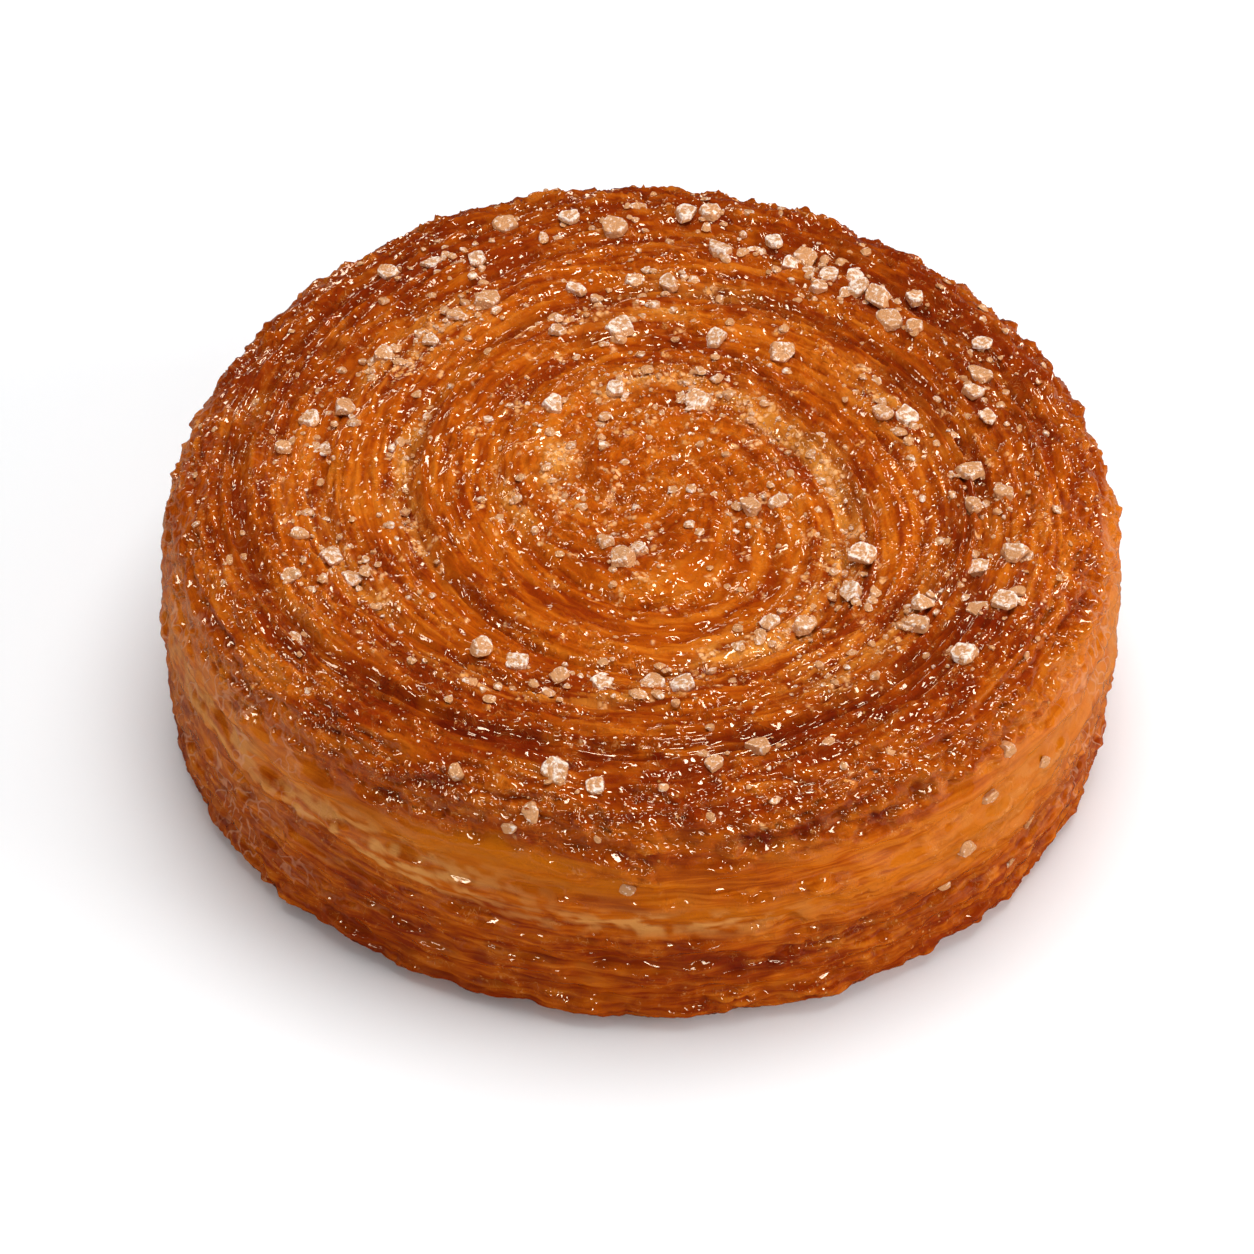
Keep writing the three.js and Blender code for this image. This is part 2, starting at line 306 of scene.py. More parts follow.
MAHOGANY = [
    (-56, -150, 39.5, 42.3, 1.7, 1.0),
    (212, 160, 42.3, 43.5, 1.8, 0.8),
    (32, -36, 32.0, 36.0, 2.6, 0.8),
    (96, 30, 27.0, 31.5, 1.5, 0.9),
    (112, 16, 20.5, 18.3, 1.2, 0.6),
    (16, -50, 18.3, 30.5, 1.4, 0.8),
    (238, 180, 26.5, 22.5, 1.1, 0.6),
    (180, 118, 22.5, 25.5, 1.1, 0.6),
    (165, 115, 40.0, 41.0, 4.0, 0.5),
    (62, 10, 41.0, 41.0, 4.0, 0.5),
    (-30, -60, 40.0, 41.0, 3.0, 0.7),
]


def streaks(rows, radius, angle):
    """The strongest of the streaks at each point."""
    strongest = np.zeros_like(radius)
    for start, end, radius_start, radius_end, width, strength in rows:
        middle, half = math.radians((start + end) / 2), math.radians(abs(start - end) / 2)
        away = (angle - middle + math.pi) % TURN - math.pi
        share = np.clip(0.5 + away / (2 * half) * (1 if end > start else -1), 0, 1)
        line = radius_start + (radius_end - radius_start) * share
        ends = 1 - ramp(np.abs(away), half - 0.05, half + 0.2)
        here = strength * ends * np.exp(-(((radius - line) / width) ** 2))
        strongest = np.maximum(strongest, here)
    return strongest


print(len(GOLDEN), "golden streaks and", len(MAHOGANY), "dark ones")


# %% Fine relief of the top
LEAVES = 15  # to a turn of the roll
LEAF_HEIGHT = 0.34
SHINGLE = (0.8, 0.2)  # shares of a leaf over which it rises and falls


def leaf_relief(x, y, turns):
    """Leaves of dough on edge, and where they lie open."""
    wander = 0.6 * noise(x / 8, y / 8, turns * 3, 3)
    wander += 0.3 * noise(x / 3, y / 3, turns * LEAVES, LEAVES)
    across = (turns * LEAVES + wander) % 1
    rising, falling = SHINGLE
    shingle = np.where(across < rising, across / rising, (1 - across) / falling) - 0.5
    openness = 0.25 + 0.75 * ramp(noise(x / 8 + 5, y / 8, turns * 4, 4), -0.3, 0.4)
    return LEAF_HEIGHT * shingle * openness


# %% Flakes, strands and wrinkles
FLAKES = [  # length in mm, number to a turn, difference in level and lean in mm
    (8.5, 18, 0.30, 0.30),
    (4.0, 32, 0.24, 0.26),
]


def flakes(x, y, turns):
    """Torn flakes that lie along the roll, each flat and leaning its own way: their height,
    and the level of the large and of the small one at each point, from 0 to 1."""
    bend = 0.5 * noise(x / 2, y / 2, turns * 9, 9)
    height, levels = 0, []
    for length, number, step, lean in FLAKES:
        place = (x / length + number, y / length, turns * number + bend)
        _, level, past = nearest_spot(*place, number)
        height = height + step * (level - 0.5) + 2 * lean * (level * 7 % 1 - 0.5) * past
        levels.append(level)
    return height, levels


def strand_relief(x, y, turns):
    """Caramel shrunk into strands along the roll, coarse and fine."""
    coarse = ridges(x / 9, y / 9 + 9, turns * 22, 22)
    fine = ridges(x / 5.5 + 3, y / 5.5, turns * 40, 40)
    return 0.28 * (coarse - 0.6) + 0.13 * (fine - 0.6)


def wrinkle_relief(x, y, z):
    """Short wrinkles without a direction."""
    bend = 0.6 * noise(x / 1.6, y / 1.6, z / 1.6)
    coarse = ridges(x / 1.5 + bend, y / 1.5 - bend, z / 1.5)
    fine = ridges(x / 0.85 - bend, y / 0.85 + bend, z / 0.85)
    return 0.30 * (coarse - 0.6) + 0.12 * (fine - 0.6)


# %% Folds and crags
GROOVE_HEIGHT = 0.5
GROOVE_PITCH = 1.5


def groove_relief(turns):
    """Smooth parallel folds in a pool of caramel."""
    return GROOVE_HEIGHT * np.sin(TURN * turns * ROLL_PITCH / GROOVE_PITCH)


def crag_relief(x, y, z):
    """Foamed caramel: lumps of a few millimetres with round bubbles on them."""
    lumps = 0.38 * noise(x / 2.7, y / 2.7, z / 2.7)
    away, chance, _ = nearest_spot(x / 1.5, y / 1.5, z / 1.5)
    bubble = np.sqrt(np.clip(1 - (away / 0.52) ** 2, 0, 1)) * (chance > 0.35)
    away, chance, past = nearest_spot(x / 2.1 + 5, y / 2.1, z / 1.4)
    shard = 0.5 * (chance - 0.5) + 0.8 * (chance * 7 % 1 - 0.5) * past
    return lumps + 0.34 * bubble + shard


RIM_FLAKE = 1.5  # mm across
RIM_FLAKES = 72  # round the rim


def rim_flakes(radius, height, angle):
    """Torn flakes of crust that lie along the rim, each a little higher or lower."""
    place = (radius / RIM_FLAKE, height / RIM_FLAKE, angle / TURN * RIM_FLAKES)
    _, level, past = nearest_spot(*place, RIM_FLAKES)
    return level - 0.5 + 0.9 * (level * 7 % 1 - 0.5) * past


# %% Fine relief of the side
FILM_EDGE = 14.5  # mean height of the film's torn edge
CRUST_EDGE = 24.3  # height where the foamed crust ends
DRAWN_AT, DRAWN_WIDE = -1.9, 0.62  # where the side is drawn out smooth, in radians


def torn_edge(angle):
    """Height of the lower edge of the caramel film on the side."""
    sway = 1.6 * np.sin(2 * angle + 0.5) + 0.9 * np.sin(5 * angle + 1.2)
    ragged = noise(7 * np.cos(angle), 7 * np.sin(angle), np.zeros_like(angle))
    rags = noise(22 * np.cos(angle), 22 * np.sin(angle), np.ones_like(angle))
    tatters = noise(50 * np.cos(angle), 50 * np.sin(angle), np.ones_like(angle))
    return FILM_EDGE + sway + 1.2 * ragged + 0.9 * rags + 0.5 * tatters


def crust_reach(height, angle):
    """1 where the foamed crust is, ending below the shoulder in scallops."""
    scallops = 1.1 * np.abs(np.sin(9 * angle + 2 * np.sin(2 * angle)))
    ragged = noise(16 * np.cos(angle), 16 * np.sin(angle), height / 2)
    edge = CRUST_EDGE - scallops + 1.3 * ragged
    return ramp(height, edge - 0.6, edge + 1.2)


def side_bumps(x, y, z, angle):
    """Small bumps of caramel on the side, and where they are: 0 where it is drawn out."""
    away, chance, _ = nearest_spot(x / 1.5, y / 1.5, z / 0.95)
    bump = np.sqrt(np.clip(1 - (away / 0.66) ** 2, 0, 1)) * (0.35 + 0.65 * chance)
    away = (angle - DRAWN_AT + math.pi) % TURN - math.pi
    drawn = np.exp(-((away / DRAWN_WIDE) ** 2))
    return bump, ramp(noise(x / 6, y / 6, z / 4) + 0.25 - 0.7 * drawn, -0.2, 0.3)


def side_relief(x, y, z, angle):
    """The drawn film above its torn edge, bare layers under it, and bumps on both."""
    wave = 0.8 * noise(x / 14, y / 14, z / 9)
    drawn = ridges(x / 12, y / 12, z / 1.9 + wave)
    drawn_fine = ridges(x / 7 + 4, y / 7, z / 0.8 + wave)
    layers = ridges(x / 9, y / 9 + 3, z / 1.05 + 2 * wave)
    layers_fine = ridges(x / 4.5, y / 4.5 + 7, z / 0.62 + 2 * wave)
    film = ramp(z, torn_edge(angle) - 0.3, torn_edge(angle) + 0.3)
    torn = 0.5 + 0.5 * np.sin(2 * angle + 2.6)
    dents = noise(x / 2.6, y / 2.6, z / 1.7)
    bump, bumpy = side_bumps(x, y, z, angle)
    smooth = 0.4 * torn - 0.1 + 0.18 * (drawn - 0.5) + 0.08 * (drawn_fine - 0.5) + 0.2 * dents
    rough = -0.15 + 0.42 * (layers - 0.5) + 0.26 * (layers_fine - 0.5) + 0.2 * dents
    return film * smooth + (1 - film) * rough + 0.36 * bumpy * bump


# %% All fine relief together
def busy_places(x, y, turns, radius):
    """1 where the caramel foamed and wrinkled, 0 where it set as smooth as glass."""
    middle_and_rim = 0.6 * (1 - ramp(radius, 8, 22)) + 0.25 * ramp(radius, *RIM)
    return ramp(noise(x / 5.5, y / 5.5, turns * 5, 5) + middle_and_rim, -0.25, 0.35)


def fine_relief(along, angle):
    """All fine relief, in millimetres, at points of the section."""
    radius, height, lean = section(along)
    x, y = radius * np.cos(angle), radius * np.sin(angle)
    turns = roll_place(x, y)[2]
    top = 1 - ramp(lean, *TOP_ENDS)
    middle = 1 - ramp(radius, 5, 13)
    inner = 1 - ramp(radius, 8, 20)
    rim = ramp(radius, *RIM)
    pooled = streaks(MAHOGANY, radius, angle)
    busy = busy_places(x, y, turns, radius)
    strands = leaf_relief(x, y, turns) + flakes(x, y, turns)[0] * (0.6 + 0.4 * busy)
    strands += strand_relief(x, y, turns) * (0.4 + 0.6 * busy)
    strands *= 1 - 0.7 * middle
    strands *= 1 - 0.4 * inner
    wrinkles = wrinkle_relief(x, y, height) * (0.6 * busy + 0.5 * middle)
    on_top = (1 - 0.75 * pooled) * (strands + wrinkles) + pooled * groove_relief(turns)
    shoulder = ramp(lean, 0.2, 0.8)
    crusted = crust_reach(height, angle)
    craggy = 0.06 + 0.25 * inner + 0.6 * rim + 0.4 * shoulder
    craggy *= (0.4 + 0.6 * busy) * crusted * (1 - 0.85 * pooled)
    craggy += 0.35 * (1 - ramp(height, 2, 7)) + 0.25 * middle
    torn = 0.55 * np.maximum(rim, shoulder) * crusted * (1 - pooled)
    bare = 1 - ramp(height, 10, 15)
    on_side = side_relief(x, y, height, angle) + 0.3 * bare * wrinkle_relief(x, y, height * 1.6)
    relief = top * on_top + (1 - top) * on_side + craggy * crag_relief(x, y, height)
    relief += torn * rim_flakes(radius, height, angle)
    return relief * ramp(height, 0, 1.2)


# %% From a place on the section to a point in space
def crust_point(along, angle):
    """Points of the crust, and how high their fine relief is."""
    radius, height, lean = section(along)
    detail = fine_relief(along, angle)
    rise = broad_relief(along, angle) + detail
    reach = (radius + rise * np.sin(lean)) * outline(angle)
    raised = height + rise * np.cos(lean)
    return np.stack([reach * np.cos(angle), reach * np.sin(angle), raised], 1), detail


# %% [markdown]
# ## The mesh of the crust
# A polar mesh suits a round that is seen from all sides: rings of points from the middle of
# the top, over the shoulder and down the side. Its points would crowd together near the
# middle, so a ring has half as many as its outer neighbour each time the radius halves, and
# triangles join the two. The underside is flat and needs only a few rings.

# %% Rings of points
SEGMENTS = 960  # round a full ring
FEWEST_SEGMENTS = 20
TOP_STEP = 0.25
SIDE_STEP = 0.33
BASE_SHARES = (0.98, 0.9, 0.7, 0.45, 0.2)

top_rings = np.linspace(0, shoulder_end, round(shoulder_end / TOP_STEP) + 1)[1:]
side_count = round((foot_end - shoulder_end) / SIDE_STEP)
side_rings = np.linspace(shoulder_end, foot_end, side_count + 1)[1:]
ring_along = np.concatenate([top_rings, side_rings])


def segments_at(radius):
    count, limit = SEGMENTS, RADIUS / 2
    while radius < limit and count > FEWEST_SEGMENTS:
        count, limit = count // 2, limit / 2
    return count


ring_counts = [segments_at(radius) for radius in section(ring_along)[0]]
along = np.repeat(ring_along, ring_counts)
angle = np.concatenate([TURN * np.arange(count) / count for count in ring_counts])
print(f"{len(ring_along)} rings with {len(along)} points")


# %% Place the points, and add the flat underside
points, detail = crust_point(along, angle)
foot_ring = points[-ring_counts[-1]:]

base_counts = [segments_at(RADIUS * share) for share in BASE_SHARES]
base_points = [
    foot_ring[:: ring_counts[-1] // count] * [share, share, 1]
    for share, count in zip(BASE_SHARES, base_counts)
]
lowest, highest = points.min(0).round(2), points.max(0).round(2)
print("the round reaches from", lowest, "to", highest, "mm")


# %% Join the rings with triangles
def stitch(inner, outer):
    """Triangles between a ring and the next. Either may have twice the other's points."""
    coarse, fine = sorted((inner, outer), key=len)
    step = len(fine) // len(coarse)
    here, following = coarse, np.roll(coarse, -1)
    far = [np.roll(fine, -k)[::step] for k in range(step + 1)]
    faces = [(here, far[0], far[1]), (here, far[1], following)]
    if step == 2:
        faces.append((following, far[1], far[2]))
    faces = np.concatenate([np.stack(corners, 1) for corners in faces])
    return faces if coarse is inner else faces[:, ::-1]


def ring_numbers(counts, first=1):
    starts = first + np.concatenate([[0], np.cumsum(counts)[:-1]])
    return [np.arange(start, start + count) for start, count in zip(starts, counts)]


def fan(centre, ring, upwards):
    faces = np.stack([np.full(len(ring), centre), ring, np.roll(ring, -1)], 1)
    return faces if upwards else faces[:, ::-1]


top_centre, _ = crust_point(np.array([0.0]), np.array([0.0]))
all_points = np.concatenate([top_centre, points, *base_points, [[0, 0, 0]]]) + SHIFT
rings = ring_numbers([*ring_counts, *base_counts])
faces = np.concatenate(
    [fan(0, rings[0], True)]
    + [stitch(inner, outer) for inner, outer in zip(rings, rings[1:])]
    + [fan(len(all_points) - 1, rings[-1], False)]
)
print(f"the crust has {len(faces)} triangles")


# %% Make Blender meshes from arrays
def mesh_piece(name, points_mm, triangles, smooth=True):
    """A mesh object from points in millimetres."""
    mesh = bpy.data.meshes.new(name)
    mesh.vertices.add(len(points_mm))
    mesh.vertices.foreach_set("co", (points_mm * MM).astype(np.float32).ravel())
    mesh.loops.add(triangles.size)
    mesh.loops.foreach_set("vertex_index", triangles.astype(np.int32).ravel())
    mesh.polygons.add(len(triangles))
    mesh.polygons.foreach_set("loop_start", np.arange(0, triangles.size, 3, dtype=np.int32))
    mesh.polygons.foreach_set("use_smooth", np.full(len(triangles), smooth))
    mesh.update()
    mesh.validate()
    piece = bpy.data.objects.new(name, mesh)
    bpy.context.scene.collection.objects.link(piece)
    return piece


def store(piece, name, values):
    """Keeps one number, or one vector, for each point of a piece, for its material to read."""
    kind, field = ("FLOAT", "value") if values.ndim == 1 else ("FLOAT_VECTOR", "vector")
    attribute = piece.data.attributes.new(name, kind, "POINT")
    attribute.data.foreach_set(field, values.astype(np.float32).ravel())


crust = mesh_piece("pastry_crust", all_points, faces)


# %% [markdown]
# ## Where the crust is pale and where it is dark
# Caramel colour follows heat and thickness. Edges and clefts that held a pool of caramel are
# dark mahogany, and dough that opened late is golden. Both lie in streaks along the roll, so
# each streak is an arc that may drift outwards between its ends. Some of the light and dark is
# painted light: painted shade in the hollows, crests and caramel bumps painted lighter, the
# side towards the front right painted as if lit, and a painted sheen at both ends of the side.
# The masks are stored on the mesh's points, and the material mixes its colours by them. Here a
# number by which a term is multiplied is a share, so that a mask runs from 0 to 1, and what
# goes beyond is cut off.

# %% Patches on the side
SIDE_PATCHES = [  # angle and half width in degrees, height and half height, glow, cream, dark
    (-110, 24, 22.0, 4.0, 1.2, 0.0, 0.0),
    (-125, 19, 17.2, 3.2, 0.2, 1.0, 0.0),
    (-90, 16, 15.6, 1.6, 0.0, 0.9, 0.0),
    (-78, 16, 16.5, 2.4, 0.8, 0.0, 0.0),
    (-40, 16, 17.5, 5.5, 1.4, 0.2, 0.0),
    (-152, 14, 19.0, 3.5, 0.3, 0.7, 0.0),
    (-12, 14, 19.0, 6.0, 1.1, 0.2, 0.0),
    (-70, 24, 26.0, 2.6, 0.0, 0.0, 0.9),
    (-72, 30, 9.5, 4.0, 0.0, 0.0, 0.8),
    (-120, 26, 9.0, 4.0, 0.0, 0.0, 0.45),
    (-30, 16, 9.0, 3.0, 0.0, 0.0, 0.4),
    (20, 22, 18.0, 4.0, 0.9, 0.3, 0.0),
    (58, 18, 15.5, 2.2, 0.2, 0.9, 0.0),
    (95, 24, 20.0, 4.0, 0.9, 0.0, 0.0),
    (140, 20, 17.0, 3.0, 0.7, 0.5, 0.0),
    (170, 14, 20.0, 4.0, 0.4, 0.2, 0.0),
    (70, 40, 9.0, 4.0, 0.0, 0.0, 0.7),
    (150, 30, 10.0, 4.0, 0.0, 0.0, 0.6),
]


def side_patches(height, angle):
    """How much glow, cream and dark there is at each point of the side."""
    found = np.zeros((3, len(height)))
    for at, half_wide, middle_height, half_high, *shares in SIDE_PATCHES:
        away = (angle - math.radians(at) + math.pi) % TURN - math.pi
        sideways, upwards = away / math.radians(half_wide), (height - middle_height) / half_high
        here = np.exp(-(sideways**2 + upwards**2))
        for k, share in enumerate(shares):
            found[k] = np.maximum(found[k], share * here)
    return found


# %% Tones of the top and the side
LEFT, RIGHT, FRONT_RIGHT = 3.4, -0.2, -0.5  # angles in radians

radius, height, lean = section(along)
x, y = radius * np.cos(angle), radius * np.sin(angle)
_, _, turns = roll_place(x, y)
top = 1 - ramp(lean, *TOP_ENDS)
rim = ramp(radius, *RIM)
crusty = crust_reach(height, angle)

_, (level, small_level) = flakes(x, y, turns)
strand_tone = noise(x / 10, y / 10, turns * 12, 12) + 0.8 * noise(x / 5, y / 5, turns * 40, 40)
flake_tone = 0.40 * (level - 0.5) + 0.35 * (small_level - 0.5)
cloud_tone = noise(x / 9 + 3, y / 9, turns * 5, 5)
middle = 1 - ramp(radius, 7, 18)
# The two ends of the round, left and right: there the side and the rim are painted lighter, a
# painted sheen of the flanks; at the rim partly golden colour too.
left_end = ramp(np.cos(angle - LEFT), 0.76, 0.96)
ends = np.maximum(left_end, ramp(np.cos(angle - RIGHT), 0.9, 1.0))
# Painted light: the side towards the front right is painted lighter, as if lit by the lamps
# there.
lit_side = ramp(np.cos(angle - FRONT_RIGHT), 0.4, 0.95) * ramp(height, 6, 14)
top_tone = (0.9 * flake_tone + 0.42 * strand_tone + 0.34 * cloud_tone) * (1 - 0.5 * middle)
# The rim is darker, less so at the two ends: partly golden colour, partly painted sheen.
top_tone += 0.53 + 0.05 * middle - 0.20 * rim * (1 - 0.8 * ends)
# Painted light: the crests of the fine relief are painted lighter, as if lit; partly thinner
# caramel.
top_tone += 0.28 * ramp(detail, 0.1, 0.7)
busy = busy_places(x, y, turns, radius)
side_tone = 0.45 + 0.28 * noise(x / 12, y / 12, height / 1.3)
side_tone = side_tone + 0.2 * noise(x / 6, y / 6, height / 0.7)
side_clouds = 0.25 * noise(x / 10, y / 10, height / 4)
side_tone += side_clouds + 0.25 * noise(x / 2.6, y / 2.6, height / 1.5)
bump, bumpy = side_bumps(x, y, height, angle)
# Painted light: the tops of the caramel bumps are painted lighter, as a painted glow, and
# lit_side adds painted light.
side_tone += 0.7 * (bump - 0.3) * bumpy + 0.35 * lit_side
# Painted sheen: the two ends of the side are painted lighter.
side_tone += 0.25 * ends * ramp(height, 3, 8)


# %% Patches, foam and streaks
glow, cream, dark = side_patches(height, angle)
streaky = noise(x / 9, y / 9, height / 1.1) + 0.7 * noise(x / 3, y / 3, height / 1.8)
glow *= 0.85 + 0.5 * streaky
rags = noise(x / 3, y / 3, height / 0.9) + 0.6 * noise(x / 1.2, y / 1.2, height / 0.7)
cream *= 1.4 * ramp(rags, -0.3, 0.3)
under_film = 1 - ramp(height, torn_edge(angle) - 0.4, torn_edge(angle) + 0.4)
foam = ramp(noise(x / 4, y / 4, height / 2.5), -0.3, 0.3)
foamed = np.maximum(0.8 * under_film * foam, 0.7 * bumpy)
dark = np.maximum(dark, 0.25 * under_film) * (0.9 + 1.1 * noise(x / 7, y / 7, height / 0.8))

wobble = 1.3 * noise(x / 5, y / 5, height / 5)
ragged = 0.7 + 0.6 * noise(x / 3, y / 3, turns * 9, 9)
golden_top = streaks(GOLDEN, radius + wobble, angle) * ragged
browned_top = streaks(MAHOGANY, radius + wobble, angle) * ragged
# The dark outer ring is weaker at the two ends: partly golden colour, partly painted sheen.
browned_top += 0.40 * ramp(radius, 30, 42) * (1 - 0.8 * ends)


# %% Sugar stuck to the crust, hollows and glaze
spots = noise(x / 2.0, y / 2.0, height / 2.0) + 0.6 * noise(x / 0.95, y / 0.95, height / 0.95)
wanted = 0.78 * golden_top + 0.24 * (1 - ramp(radius, 10, 26)) - 0.2 * rim
sugared = ramp(spots + wanted, 0.62, 0.82) * np.maximum(top, crusty)

tone = np.clip(top * top_tone + (1 - top) * side_tone, 0, 1)
golden = np.clip(top * golden_top, 0, 1)
glow = np.clip((1 - top) * (1 - crusty) * glow, 0, 1)
cream = np.clip((1 - top) * (1 - crusty) * (1 - under_film) * cream, 0, 1)
browned = np.clip(top * browned_top + (1 - top) * dark, 0, 1)
# Painted sheen: a net of pale lines at both ends of the side, where the flanks catch the white
# sweep at a slant.
sheen_net = (1 - 0.8 * top) * ends * ramp(noise(x / 5, y / 5, height / 5), -0.3, 0.2)
# Painted shade: the fine hollows of the relief and the roll's clefts are darkened, where shade
# falls; partly also caramel that pooled there.
hollow_shade = 0.42 * ramp(-detail, 0.1, 0.7)
hollow_shade += 0.40 * ramp(-broad_relief(along, angle), 0.3, 1.0)
hollow_shade *= (1 - 0.6 * middle) * (1 - 0.5 * golden) * (1 - 0.8 * sugared)
glaze = np.clip(1 - 0.6 * sugared - 0.5 * cream + 0.4 * noise(x / 4, y / 4, height / 4), 0, 1)


# %% Store the masks
def on_all_points(values, base_value):
    """Adds the top centre and the underside to the values of the rings."""
    extra = len(all_points) - 1 - len(values)
    return np.concatenate([values[:1], values, np.full(extra, base_value)])


for name, values, under_value in (
    ("tone", tone, 0.4),
    ("golden", golden, 0.0),
    ("glow", glow, 0.0),
    ("cream", cream, 0.0),
    ("sugared", sugared, 0.0),
    ("browned", browned, 0.5),
    ("hollow_shade", hollow_shade, 0.0),
    ("glaze", glaze, 0.3),
    ("busy", np.maximum(busy * np.maximum(top, crusty), foamed), 0.0),
    ("side", 1 - np.maximum(top, crusty), 0.0),
    ("sheen_net", sheen_net * rim, 0.0),
):
    store(crust, name, on_all_points(values, under_value))
    print(f"{name}: {values.mean():.2f} on average")
roll_circle = np.stack([np.cos(TURN * turns), np.sin(TURN * turns), 1 - top], 1)
base_circle = np.tile([1.0, 0.0, 0.0], (len(all_points) - 1 - len(roll_circle), 1))
store(crust, "roll", np.concatenate([roll_circle[:1], roll_circle, base_circle]))


# %% [markdown]
# ## Node helpers
# Materials are networks of nodes. A few helpers keep them readable: one adds a node and fills
# its inputs, with a number or with another node's output, others do sums and blends with it,
# and the last two start a node group and place it in a material.

# %% Add nodes, sums and blends in few words
def add(tree, kind, settings=None, **inputs):
    """A new node. Inputs are named, with _ for a space, or i0, i1... for their number."""
    node = tree.nodes.new("ShaderNode" + kind)
    for name, value in (settings or {}).items():
        setattr(node, name, value)
    for name, value in inputs.items():
        known = name[0] == "i" and name[1:].isdigit()
        socket = node.inputs[int(name[1:])] if known else node.inputs[name.replace("_", " ")]
        if isinstance(value, bpy.types.NodeSocket):
            tree.links.new(value, socket)
        else:
            socket.default_value = value
    return node


def calculate(tree, operation, first, second=0.0, third=0.0, clamp=False):
    settings = {"operation": operation, "use_clamp": clamp}
    return add(tree, "Math", settings, i0=first, i1=second, i2=third).outputs[0]


def blend(tree, share, first, second):
    """A colour between two, by share."""
    node = add(tree, "Mix", {"data_type": "RGBA"}, Factor=share)
    colours = [s for s in node.inputs if s.type == "RGBA"]
    for socket, value in zip(colours, (first, second)):
        if isinstance(value, bpy.types.NodeSocket):
            tree.links.new(value, socket)
        else:
            socket.default_value = (*value, 1)
    return next(s for s in node.outputs if s.type == "RGBA")


# %% Start a group, and use it
def new_group(name, inputs, outputs):
    group = bpy.data.node_groups.new(name, "ShaderNodeTree")
    for label, value in inputs.items():
        socket = group.interface.new_socket(label, in_out="INPUT", socket_type="NodeSocketFloat")
        socket.default_value = value
    for label in outputs:
        group.interface.new_socket(label, in_out="OUTPUT", socket_type="NodeSocketFloat")
    return group, group.nodes.new("NodeGroupInput"), group.nodes.new("NodeGroupOutput")


def use(tree, group, **inputs):
    node = tree.nodes.new("ShaderNodeGroup")
    node.node_tree = group
    for name, value in inputs.items():
        node.inputs[name].default_value = value
    return node


# %% [markdown]
# ## Four effects that the materials share
# *Mottle* is plain noise of a size given in millimetres. *Wrinkle* folds such noise into thin
# crests, as a drying film has. *Granules* are small domes side by side, each with a tone of
# its own. *Strand* is noise that is long along the roll and short across it: on the top it
# uses the stored place in the roll, as a point on a circle so that the pattern closes after
# each turn, and on the side it uses height.

# %% Mottle and Wrinkle
def place_by(group, size):
    """The place on the piece, counted in steps of a size in millimetres."""
    place = add(group, "TexCoord").outputs["Object"]
    per_size = calculate(group, "DIVIDE", 1 / MM, size)
    scaled = add(group, "VectorMath", {"operation": "SCALE"}, Vector=place, Scale=per_size)
    return scaled.outputs[0]


def crest_along(group, value, reach):
    """1 along the lines where noise has its middle value, falling off within a reach of it."""
    away = calculate(group, "ABSOLUTE", calculate(group, "SUBTRACT", value, 0.5))
    settings = {"interpolation_type": "SMOOTHSTEP"}
    return add(group, "MapRange", settings, Value=away, From_Min=reach, From_Max=0.0).outputs[0]


mottle_group, given, result = new_group("Mottle", {"Size": 1.0, "Detail": 2.0}, ["Value"])
spot = place_by(mottle_group, given.outputs["Size"])
field = add(mottle_group, "TexNoise", Vector=spot, Detail=given.outputs["Detail"], Scale=1.0)
mottle_group.links.new(field.outputs[0], result.inputs["Value"])

wrinkle_group, given, result = new_group("Wrinkle", {"Size": 1.0, "Bend": 0.6}, ["Crest"])
spot, bend = place_by(wrinkle_group, given.outputs["Size"]), given.outputs["Bend"]
field = add(wrinkle_group, "TexNoise", Vector=spot, Detail=0.0, Scale=1.0, Distortion=bend)
crest = crest_along(wrinkle_group, field.outputs[0], 0.1)
wrinkle_group.links.new(crest, result.inputs["Crest"])


# %% Granules
granule_group, given, result = new_group("Granules", {"Size": 0.5}, ["Dome", "Tone"])
spot = place_by(granule_group, given.outputs["Size"])
cells = add(granule_group, "TexVoronoi", Vector=spot, Scale=1.0)
fall = calculate(granule_group, "POWER", cells.outputs["Distance"], 2.0)
dome = calculate(granule_group, "SUBTRACT", 1.0, fall, clamp=True)
granule_group.links.new(dome, result.inputs["Dome"])
tones = add(granule_group, "SeparateColor", Color=cells.outputs["Color"])
granule_group.links.new(tones.outputs[0], result.inputs["Tone"])


# %% Strand
sizes = {"Length": 3.0, "Number": 40.0}
strand_group, given, result = new_group("Strand", sizes, ["Value", "Crest"])
spot = place_by(strand_group, given.outputs["Length"])
spot_parts = add(strand_group, "SeparateXYZ", Vector=spot)
roll = add(strand_group, "Attribute", {"attribute_name": "roll"})
roll_parts = add(strand_group, "SeparateXYZ", Vector=roll.outputs["Vector"])
circle_radius = calculate(strand_group, "DIVIDE", given.outputs["Number"], TURN)
place = add(strand_group, "TexCoord").outputs["Object"]
place_parts = add(strand_group, "SeparateXYZ", Vector=place)
per_layer = calculate(strand_group, "MULTIPLY", given.outputs["Number"], 1 / (ROLL_PITCH * MM))
level = calculate(strand_group, "MULTIPLY", place_parts.outputs["Z"], per_layer)
on_circle = calculate(strand_group, "MULTIPLY", roll_parts.outputs["X"], circle_radius)
on_side = roll_parts.outputs["Z"]
third = add(strand_group, "Mix", {"data_type": "FLOAT"}, i0=on_side, i2=on_circle, i3=level)
on_top = calculate(strand_group, "SUBTRACT", 1.0, on_side)
fourth = calculate(strand_group, "MULTIPLY", roll_parts.outputs["Y"], circle_radius)
fourth = calculate(strand_group, "MULTIPLY", fourth, on_top)
spot = add(strand_group, "CombineXYZ", X=spot_parts.outputs["X"], Y=spot_parts.outputs["Y"],
           Z=third.outputs[0])
